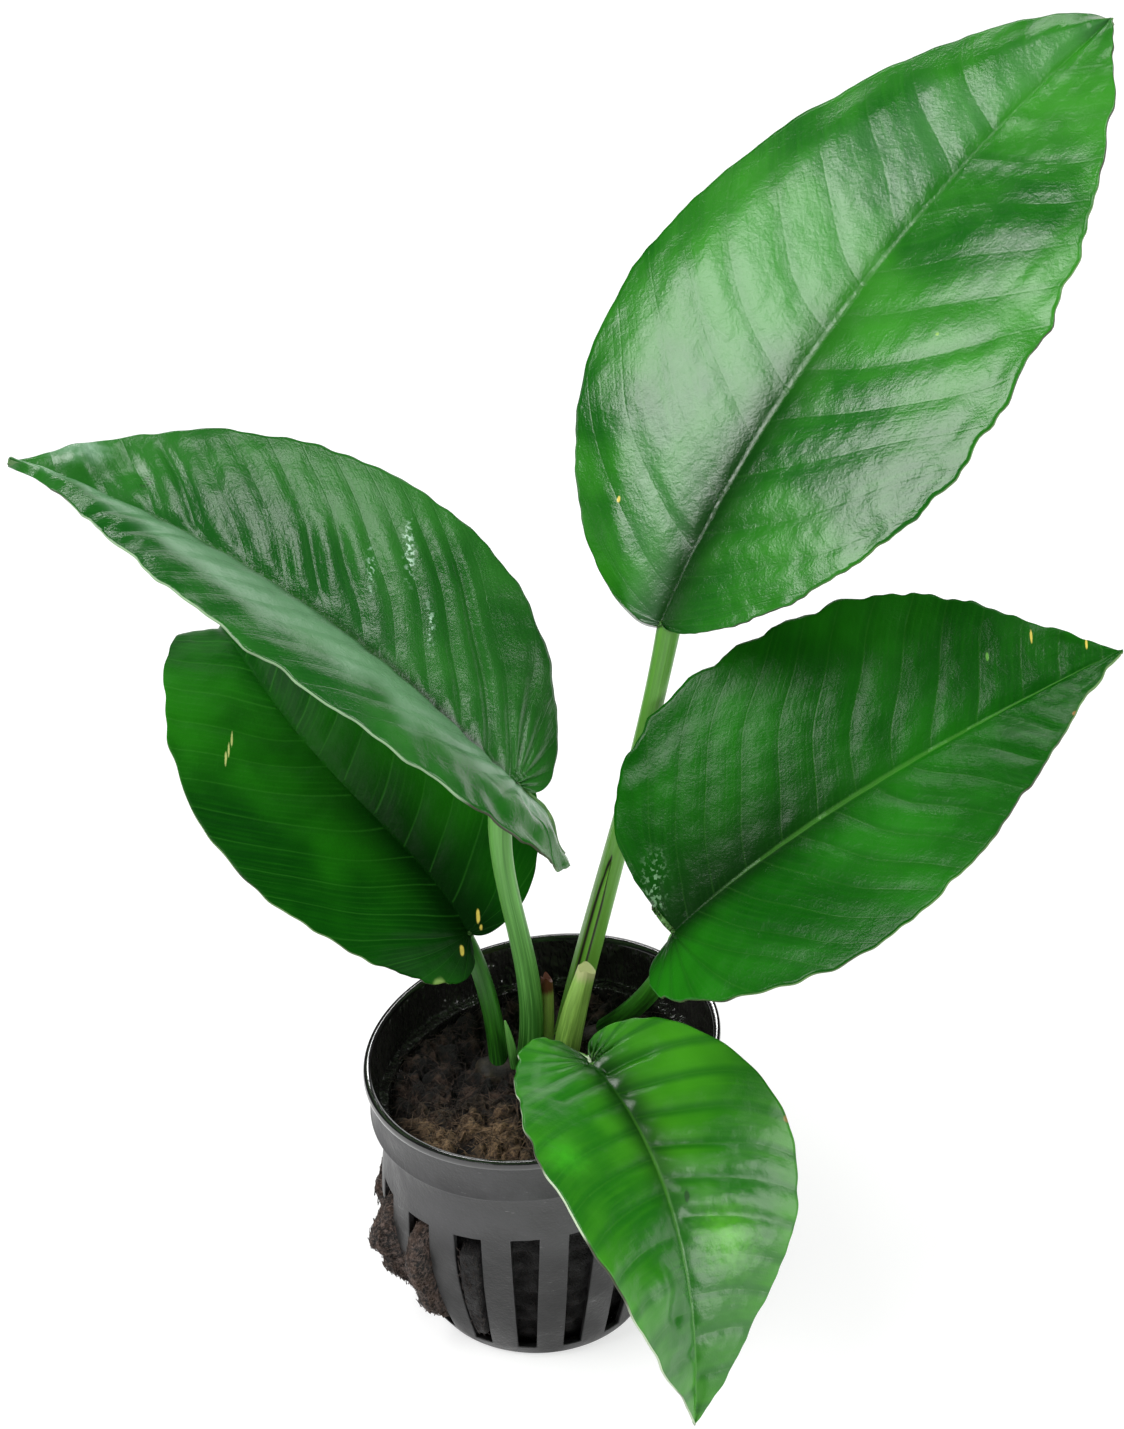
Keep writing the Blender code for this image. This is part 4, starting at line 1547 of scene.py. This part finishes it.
    def top_fibres(self, picker: np.random.Generator, count: int) -> tuple[np.ndarray, ...]:
        """Where the fibres on the bed lie.

        Args:
            picker: The source of chance.
            count: How many fibres there are.

        Returns:
            Middles, directions and the way each fibre bows, in mm before the pot settled.
        """
        radius = (self.pot.collar_radius - 2.6) * np.sqrt(picker.random(count))
        bearing = picker.uniform(-math.pi, math.pi, count)
        x, y = radius * np.sin(bearing), -radius * np.cos(bearing)
        middle = np.stack([x, y, self.top_height(x, y) + picker.uniform(-0.25, 0.45, count)], axis=1)
        turn = picker.uniform(0, math.tau, count)
        direction = np.stack([np.cos(turn), np.sin(turn), picker.normal(0, 0.28, count)], axis=1)
        return middle, direction, np.array((0.0, 0.0, 1.0)) + picker.normal(0, 0.4, (count, 3))

    def side_fibres(self, picker: np.random.Generator, count: int) -> tuple[np.ndarray, ...]:
        """Where the fibres at the slots lie.

        Args:
            picker: The source of chance.
            count: How many fibres there are.

        Returns:
            Middles, directions and the way each fibre bows, in mm before the pot settled.
        """
        slots = np.array([slot for slot, _ in self.tufts] + [0, 1])
        slot = picker.choice(slots, count, p=self.chances)
        height = picker.uniform(4.0, 27.0, count)
        half = self.pot.slot_half_width(height) - 0.4
        bearing = math.radians(self.pot.front_slot) + slot * math.tau / self.pot.slots
        bearing = bearing + picker.uniform(-1, 1, count) * half / 21.5
        reach = self.wall_radius(bearing, height) + picker.uniform(-0.3, 0.10, count)
        none, up = np.zeros(count), np.array((0.0, 0.0, 1.0))
        out = np.stack([np.sin(bearing), -np.cos(bearing), none], axis=1)
        level = np.stack([np.cos(bearing), np.sin(bearing), none], axis=1)
        lean = picker.normal(0, 0.8, count)[:, None]
        direction = level * lean * 0.6 + up + out * picker.normal(0, 0.15, count)[:, None]
        return out * reach[:, None] + up * height[:, None], direction, out + 0.2

    def build_fibres(self) -> bpy.types.Object:
        """Make the loose fibres of the wool."""
        picker = np.random.default_rng(11)
        strand = self.strand()
        count, each = self.fibre_count, len(strand.vertices)
        bm = bmesh.new()
        for _ in range(count):
            bm.from_mesh(strand)
        mesh = bpy.data.meshes.new("wool_fibres")
        bm.to_mesh(mesh)
        bm.free()
        local = np.empty(3 * each)
        strand.vertices.foreach_get("co", local)
        bpy.data.meshes.remove(strand)
        local = local.reshape(each, 3)[None, :, :, None]
        on_top = int(count * self.top_share)
        parts = zip(self.top_fibres(picker, on_top), self.side_fibres(picker, count - on_top))
        middle, direction, bow = (np.vstack(part) for part in parts)
        direction, bow = unit(direction), unit(bow)
        length = picker.uniform(1.2, 4.2, count)
        length[on_top:] *= 0.5
        thick = picker.uniform(0.04, 0.10, count)[:, None, None]
        arch = picker.uniform(-0.1, 0.55, count)[:, None, None]
        bow = unit(bow - direction * np.sum(bow * direction, axis=1)[:, None])
        other = np.cross(direction, bow)
        along = local[:, :, 2]
        spots = middle[:, None] + direction[:, None] * along * length[:, None, None]
        spots = spots + bow[:, None] * (local[:, :, 0] * thick - 4 * along**2 * arch)
        spots = spots + other[:, None] * local[:, :, 1] * thick
        settled = self.pot.settle(spots.reshape(-1, 3)) * MM
        mesh.vertices.foreach_set("co", settled.ravel())
        mesh.update()
        return add_piece("wool_fibres", mesh, [self.finish.material("wool_thread", 0.5)])


# ---------------------------------------------------------------- rhizome and stubs


@dataclass
class Rhizome:
    """The creeping stem in the wool: its two ends, its radius, and how many leaf scars swell it."""

    ends: tuple[Point, Point] = ((-8.5, 4.2, 38.2), (14.5, 12.0, 38.9))
    radius: float = 3.0
    knots: int = 5
    sides: int = 32
    finish: BarkFinish = BarkFinish()

    def build(self, effects: SharedEffects) -> bpy.types.Object:
        """Make the rhizome with its leaf scars."""
        share = np.linspace(0, 1, 61)
        line = bezier(self.ends, share)
        radii = self.radius * (1 + 0.07 * np.cos(math.tau * self.knots * share))
        radii *= np.sqrt(np.clip(1 - np.abs(2 * share - 1) ** 14, 0.15, 1))
        bm = bmesh.new()
        sweep(bm, line * MM, radii * MM, self.sides)
        bumps = Undulation(3, 2.2, 9)
        for vert in bm.verts:
            swell = float(bumps.at(np.array(vert.co.x / MM), np.array((vert.co.y + vert.co.z) / MM)))
            vert.co.z += 0.12 * swell * MM
        piece = add_piece("rhizome_stem", to_mesh(bm, "rhizome_stem"), [self.finish.material(effects)])
        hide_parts("rhizome")
        return piece


# ---------------------------------------------------------------- studio


@dataclass(frozen=True)
class Softbox:
    """An oblong light that faces the plant: where it stands and its size in metres, and how bright it is."""

    name: str
    azimuth: float
    elevation: float
    distance: float
    width: float
    tall: float
    radiance: float
    colour: Colour = (1.0, 1.0, 1.0)
    aim: Point = (0.0, 0.0, 0.09)

    def build(self) -> None:
        """Hang the light. Azimuth is counted from +Y towards +X."""
        azimuth, elevation = math.radians(self.azimuth), math.radians(self.elevation)
        way = Vector((
            math.sin(azimuth) * math.cos(elevation),
            math.cos(azimuth) * math.cos(elevation),
            math.sin(elevation),
        ))
        lamp = bpy.data.lights.new(self.name, "AREA")
        lamp.shape = "RECTANGLE"
        lamp.size = self.width
        lamp.size_y = self.tall
        lamp.energy = self.radiance * math.pi * self.width * self.tall
        lamp.color = self.colour
        stand = bpy.data.objects.new(self.name, lamp)
        stand.location = Vector(self.aim) + way * self.distance
        stand.rotation_euler = (-way).to_track_quat("-Z", "Y").to_euler()
        bpy.context.scene.collection.objects.link(stand)


@dataclass(frozen=True)
class Studio:
    """The floor, the lights and the camera.

    Attributes:
        eye: Where the camera stands.
        yaw: How far it is turned from +Y towards +X.
        pitch: How far it looks up.
        roll: How far it is tilted.
        lens: Its focal length.
        world: How bright the surroundings are.
        dusk: How bright they are in reflections.
        paper: How pale the floor is.
        glow: How much light the floor gives off.
        floor_size: Half the floor's width, in metres.
        lights: The lights.
    """

    eye: Point = (1.5, -463.6, 427.3)
    yaw: float = 0.545
    pitch: float = -34.565
    roll: float = -1.5
    lens: float = 100.0
    world: float = 0.42
    dusk: float = 0.04
    paper: float = 0.45
    glow: float = 0.61
    floor_size: float = 4.0
    lights: tuple[Softbox, ...] = (
        Softbox("key_left", -111.0, 54.0, 1.2, 0.72, 0.66, 8.8),
        Softbox("fill_right", 92.0, 61.0, 1.2, 0.45, 0.42, 6.5),
        Softbox("low_right", 111.0, 15.0, 1.3, 0.48, 0.80, 5.6),
        Softbox("back_card", 12.0, 12.0, 1.4, 0.9, 0.5, 1.4),
        Softbox("lip_strip", -12.0, 38.0, 1.4, 0.70, 0.07, 18.0),
    )

    def build(self) -> None:
        """Set up the whole studio."""
        self.build_floor()
        self.build_world()
        for light in self.lights:
            light.build()
        self.build_camera()
        bpy.context.scene.view_settings.view_transform = "Standard"

    def build_floor(self) -> None:
        """Lay the pale floor."""
        bm = bmesh.new()
        bmesh.ops.create_grid(bm, x_segments=1, y_segments=1, size=self.floor_size)
        floor_object = bpy.data.objects.new("studio_floor", to_mesh(bm, "studio_floor", outward=False))
        material, _, shader = new_material("studio_paper")
        shader.inputs["Base Color"].default_value = (*(self.paper,) * 3, 1.0)
        shader.inputs["Emission Color"].default_value = (1.0, 1.0, 1.0, 1.0)
        shader.inputs["Emission Strength"].default_value = self.glow
        shader.inputs["Roughness"].default_value = 1.0
        shader.inputs["Specular IOR Level"].default_value = 0.0
        floor_object.data.materials.append(material)
        bpy.context.scene.collection.objects.link(floor_object)

    def build_world(self) -> None:
        """Light the surroundings dimly, and show them pale to the camera."""
        world = bpy.data.worlds.new("studio_air")
        world.use_nodes = True
        bpy.context.scene.world = world
        g = Graph(world.node_tree)
        background = world.node_tree.nodes["Background"]
        path = g.node("LightPath").outputs
        colour = g.mix(path["Is Glossy Ray"], (self.world,) * 3, (self.dusk,) * 3)
        g.put(background.inputs["Color"], g.mix(path["Is Camera Ray"], colour, (1.0,) * 3))
        background.inputs["Strength"].default_value = 1.0

    def build_camera(self) -> None:
        """Place the camera where the photographer stood."""
        yaw, pitch, roll = map(math.radians, (self.yaw, self.pitch, self.roll))
        ahead = Vector((math.sin(yaw) * math.cos(pitch), math.cos(yaw) * math.cos(pitch), math.sin(pitch)))
        right = ahead.cross(Vector((0, 0, 1))).normalized()
        up = right.cross(ahead)
        right, up = right * math.cos(roll) + up * math.sin(roll), up * math.cos(roll) - right * math.sin(roll)
        data = bpy.data.cameras.new("portrait")
        data.sensor_fit = "VERTICAL"
        data.sensor_height = 36.0
        data.lens = self.lens
        data.clip_start = 0.02
        data.clip_end = 20.0
        camera = bpy.data.objects.new("portrait", data)
        turn = Matrix((right, up, -ahead)).transposed().to_4x4()
        camera.matrix_world = Matrix.Translation(Vector(self.eye) * MM) @ turn
        bpy.context.scene.collection.objects.link(camera)
        bpy.context.scene.camera = camera


# ---------------------------------------------------------------- the plant


def leaf_finish(name: str, deep: Colour, bright: Colour, pale: Colour, **others: object) -> LeafFinish:
    """The skin of one blade, with the values that most blades share.

    Args:
        name: The blade's name.
        deep: Its darkest green.
        bright: Its brightest green.
        pale: The green of its veins.
        **others: Any other field of the finish.

    Returns:
        The finish.
    """
    shared = {"vein_show": 0.05, "midrib_show": 0.15, "roughness": 0.24, "relief": 0.5}
    shared["painted_sheen"] = (0.17, 0.34, 0.19)
    return LeafFinish("leaf_" + name, deep, bright, pale, **{**shared, **others})


YELLOW = (0.72, 0.58, 0.10)
SCRATCH = (0.50, 0.55, 0.18)
# Water beads drawn as pale specks: their paleness is a painted glint.
BEAD_GLINT = (0.30, 0.50, 0.34)
BLADES: dict[str, Blade] = {
    "upper_right": Blade(
        name="upper_right",
        midrib=((20.5, 12, 115), (32.5, 22, 140.5), (56.5, 44, 163.5), (88, 60.5, 184.5)),
        roll=(-3, -8),
        left=HalfBlade(
            31.9, 0.38, 4.0, 0.72, 0.42, 0.141, 15.5, 2.3,
            tip_blunt=16.4, pleat=0.19, scallop=0.20, edge_drop=1.1, painted_sheen=0.15,
        ),
        right=HalfBlade(
            32.0, 0.415, 1.6, 0.71, 0.60, 0.125, 9, 5.2,
            tip_blunt=9.0, pleat=0.25, scallop=0.55, ruffle=0.35,
        ),
        finish=leaf_finish(
            "upper_right",
            (0.004, 0.095, 0.004),
            (0.026, 0.230, 0.008),
            (0.06, 0.26, 0.03),
            marks=(
                Mark((15.1, 24.9, 128.3), (0.35, 0.5, 1.1), YELLOW),
                Mark((60.2, 23.2, 154.4), (0.5, 0.5, 0.5), (0.25, 0.50, 0.03)),
                Mark((86.7, 61.7, 185.0), (1.8, 1.6, 1.0), (0.42, 0.40, 0.22), 0.3),
            ),
        ),
        seed=2,
    ),
    "upper_left": Blade(
        name="upper_left",
        midrib=((-1.6, 8, 90), (-18, 12, 111.6), (-41.5, 20, 129), (-72, 26, 136.8)),
        roll=(-2, 3),
        left=HalfBlade(
            27.3, 0.39, 18.0, 0.77, 0.53, 0.17, 23, 3.4,
            pleat=0.25, ruffle=0.36, scallop=0.55, edge_drop=0.5,
            crown=0.9, painted_sheen=0.7, crumple=0.6, tatter=0.9, shade=0.10,
        ),
        right=HalfBlade(
            27.8, 0.32, 7.2, 0.80, 0.50, 0.16, 24.5, 2.9,
            pleat=0.50, scallop=0.40, shade=0.03,
            bumps=((79.0, 4.0, 3.2, 1.9), (72.0, 5.0, 2.5, -0.8)),
        ),
        finish=leaf_finish(
            "upper_left",
            (0.004, 0.075, 0.005),
            (0.018, 0.150, 0.012),
            (0.05, 0.22, 0.03),
            edge=(0.26, 0.42, 0.22),
            marks=(
                # A painted glint: a short white dash.
                Mark((-5.3, 4.0, 96.4), (1.0, 0.6, 0.8), (0.85, 0.92, 0.85)),
                # A painted sheen on the curled lobe near the tip.
                Mark((-62.3, 28.5, 137.0), (6.5, 4.0, 4.0), (0.30, 0.48, 0.34), 0.9),
            ),
            # Pale specks of water beads, painted as glints; the last stretch holds dark specks of the blade's own.
            drops=(
                Mark((-21.0, 23.9, 118.1), (0.9, 6.0, 7.0), BEAD_GLINT, 0.6),
                Mark((-15.6, 28.8, 118.0), (1.3, 7.0, 8.0), (0.40, 0.62, 0.45), 0.6),
                Mark((-12.8, 20.0, 111.0), (1.0, 5.0, 6.0), BEAD_GLINT, 0.6),
                Mark((-52.8, 26.0, 132.8), (1.8, 1.2, 1.6), (0.006, 0.030, 0.006), 0.6),
            ),
        ),
        veins=13.0,
        seed=5,
        vein_lean=(0.75, 1.40),
    ),
    "lower_left": Blade(
        name="lower_left",
        midrib=((-8.8, 10, 61.6), (-18.7, 20, 80.3), (-42.2, 34, 76.1), (-45.3, 56, 102.6), (-48.9, 62, 78.9)),
        roll=(10.5, 5),
        left=HalfBlade(
            24.6, 0.355, 8.6, 0.78, 0.33, 0.15, 13, 4.6,
            pleat=0.16, scallop=0.4, shade=0.28, tatter=0.7,
        ),
        right=HalfBlade(26.8, 0.375, 3.0, 0.77, 0.54, 0.15, 27.5, 3.4, pleat=0.12, shade=0.28),
        finish=leaf_finish(
            "lower_left",
            (0.002, 0.050, 0.002),
            (0.011, 0.158, 0.003),
            (0.04, 0.24, 0.02),
            vein_show=0.20,
            midrib_show=0.0,
            roughness=0.40,
            shine=0.05,
            groove=0.08,
            marks=(
                Mark((-43.9, 30.9, 83.9), (0.22, 2.2, 0.9), SCRATCH),
                Mark((-44.3, 29.1, 83.5), (0.22, 2.2, 0.9), SCRATCH),
                Mark((-44.7, 27.3, 83.0), (0.22, 2.2, 0.9), SCRATCH),
                Mark((-7.4, 11.2, 63.7), (0.35, 0.9, 1.5), YELLOW),
                Mark((-7.0, 10.6, 62.2), (0.35, 0.7, 0.7), YELLOW),
                Mark((-10.0, 7.2, 60.3), (0.4, 0.9, 1.3), YELLOW),
                Mark((-13.7, 1.8, 58.5), (1.6, 1.4, 1.4), (0.25, 0.42, 0.10), 0.3),
            ),
        ),
        seed=9,
    ),
    "right": Blade(
        name="right",
        midrib=((21, -10.8, 76.7), (34.8, -8.9, 91), (57.7, -1.3, 101.4), (86.2, 6.3, 111.9)),
        roll=(-14.5, -6),
        left=HalfBlade(
            27.7, 0.365, -0.2, 1.15, 0.68, 0.15, 28.5, 0.63,
            pleat=0.17, ruffle=0.5, scallop=0.5, crumple=0.6, shade=0.36, tatter=1.3,
        ),
        right=HalfBlade(25.7, 0.33, 10.0, 0.735, 0.48, 0.14, 12.5, 6.0, pleat=0.26, scallop=0.4, tatter=0.5),
        finish=leaf_finish(
            "right",
            (0.002, 0.070, 0.001),
            (0.009, 0.160, 0.002),
            (0.09, 0.32, 0.04),
            midrib_show=0.4,
            roughness=0.30,
            shine=0.20,
            groove=0.35,
            marks=(
                Mark((73.5, 9.4, 112.5), (0.22, 1.3, 1.1), YELLOW),
                Mark((81.2, 7.5, 112.1), (0.22, 0.9, 0.8), YELLOW),
                Mark((67.1, 7.6, 110.2), (0.3, 1.6, 0.5), (0.12, 0.36, 0.05)),
                Mark((78.3, -4.9, 108.5), (0.7, 0.7, 0.7), (0.25, 0.14, 0.04)),
            ),
            drops=(Mark((18.5, -6.0, 82.0), (3.0, 5.0, 9.0), (0.16, 0.32, 0.16), 0.8),),
        ),
        seed=12,
    ),
    "front": Blade(
        name="front",
        midrib=((8.8, -13, 54.6), (17.9, -26, 52.7), (23.8, -43, 40.9), (22, -50, 17.3)),
        roll=(-5, 56),
        left=HalfBlade(
            22.6, 0.365, 5.6, 0.77, 0.41, 0.15, 11.5, 2.3,
            pleat=0.85, scallop=0.3, crumple=0.1, fade=0.8, tatter=0.5,
        ),
        right=HalfBlade(
            21.0, 0.375, 11.6, 0.77, 0.47, 0.14, 15, 3.4,
            pleat=0.30, scallop=0.4, crumple=0.1, tatter=0.6,
            bumps=((36.0, 8.0, 2.6, 1.1), (40.0, 5.0, 2.0, -0.7)),
        ),
        finish=leaf_finish(
            "front",
            (0.007, 0.125, 0.002),
            (0.044, 0.275, 0.004),
            (0.12, 0.42, 0.03),
            midrib_show=0.2,
            roughness=0.31,
            relief=0.25,
            groove=0.80,
            edge=(0.50, 0.62, 0.42),
            marks=(
                # A yellow-green patch of the blade's own, made brighter as painted light that shines through the
                # lower leaf.
                Mark((27.7, -34.0, 38.5), (8.0, 8.0, 8.0), (0.09, 0.42, 0.012), 1.0),
                Mark((4.3, -34.9, 55.6), (5.0, 5.0, 5.0), (0.035, 0.34, 0.006), 1.0),
                Mark((21.8, -31.5, 44.5), (0.5, 1.2, 1.0), (0.004, 0.06, 0.002)),
                Mark((37.1, -17.9, 46.9), (0.7, 0.7, 0.7), (0.25, 0.18, 0.04)),
            ),
        ),
        veins=11.0,
        seed=15,
        vein_lean=(0.05, 0.5),
    ),
}

GREEN = StalkFinish("stalk_skin", (0.020, 0.120, 0.010), (0.150, 0.420, 0.085))
DARK = StalkFinish("stalk_skin_dark", (0.005, 0.050, 0.003), (0.035, 0.210, 0.010))
OPEN = StalkFinish(
    "stalk_skin_open",
    (0.120, 0.300, 0.035),
    (0.090, 0.270, 0.035),
    lining=(0.20, 0.52, 0.06),
    lips=(0.016, 0.006, 0.006),
)
CUT = StalkFinish("stub_skin", (0.075, 0.190, 0.020), (0.300, 0.540, 0.100), end=(0.52, 0.58, 0.24))
TORN = StalkFinish(
    "torn_skin", (0.340, 0.540, 0.120), (0.320, 0.420, 0.100), end=(0.150, 0.040, 0.020), end_from=0.84
)
STALKS: tuple[Stalk, ...] = (
    Stalk(
        name="stalk_upper_right",
        path=((5.3, 11.1, 40.0), (10.4, 11.3, 63.5), (17.4, 11.6, 89.1), (21.6, 12.1, 113.4)),
        radii=(1.9, 2.2, 1.2, 1.75),
        finish=OPEN,
        blade=BLADES["upper_right"],
        opening=(0.34, 0.54),
    ),
    Stalk(
        name="stalk_upper_left",
        path=((-0.6, 6.4, 39.6), (2.6, 6.8, 57.8), (-5.7, 7.6, 72.7), (-2.0, 8.5, 87.9)),
        radii=(1.9, 1.8, 1.1, 2.0),
        finish=GREEN,
        blade=BLADES["upper_left"],
    ),
    Stalk(
        name="stalk_lower_left",
        path=((-5.0, 5.0, 39.6), (-5.2, 6.6, 47.0), (-6.8, 8.0, 55.0), (-9.2, 10.9, 60.6)),
        radii=(1.5, 1.4, 1.4, 1.2),
        finish=DARK,
        blade=BLADES["lower_left"],
    ),
    Stalk(
        name="stalk_right",
        path=((11.4, 11.1, 41.5), (16.6, 5.5, 50.0), (20.0, -4.1, 62.4), (21.0, -10.8, 73.9)),
        radii=(1.6, 1.6, 1.5, 1.5),
        finish=DARK,
        blade=BLADES["right"],
    ),
    Stalk(
        name="stalk_front",
        path=((2.1, 5.0, 40.6), (1.6, -0.5, 46.5), (3.8, -6.4, 50.1), (7.2, -11.1, 53.2)),
        radii=(1.6, 1.5, 1.4, 1.3),
        finish=GREEN,
        blade=BLADES["front"],
    ),
    Stalk(
        name="stub_thick",
        path=((5.0, 5.5, 39.6), (5.8, 5.3, 46.5), (7.3, 5.2, 52.5), (8.7, 5.4, 57.8)),
        radii=(2.0, 2.1, 1.8, 1.35),
        finish=CUT,
        ragged=0.35,
    ),
    Stalk(
        name="stub_thin",
        path=((2.3, 8.1, 40.0), (2.5, 8.3, 45.5), (2.6, 8.5, 50.0), (2.6, 8.6, 53.6)),
        radii=(1.1, 1.1, 1.05, 0.9),
        finish=TORN,
        ragged=0.6,
    ),
    Stalk(
        name="young_sheath",
        path=((-2.6, 3.6, 40.6), (-2.9, 3.8, 43.6), (-3.3, 4.0, 46.4), (-3.9, 4.4, 49)),
        radii=(0.7, 0.75, 0.6, 0.15),
        finish=GREEN,
    ),
)


def main() -> None:
    """Dress the plant, then light it."""
    logging.basicConfig(level=logging.INFO, format="%(message)s")
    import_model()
    effects = SharedEffects()
    pot = NetPot()
    pot.build(effects)
    wool = RockWool(pot)
    wool.build()
    wool.build_fibres()
    Rhizome().build(effects)
    for blade in BLADES.values():
        blade.build(effects)
    for stalk in STALKS:
        stalk.build()
    Studio().build()
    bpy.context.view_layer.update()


if __name__ == "__main__":
    main()
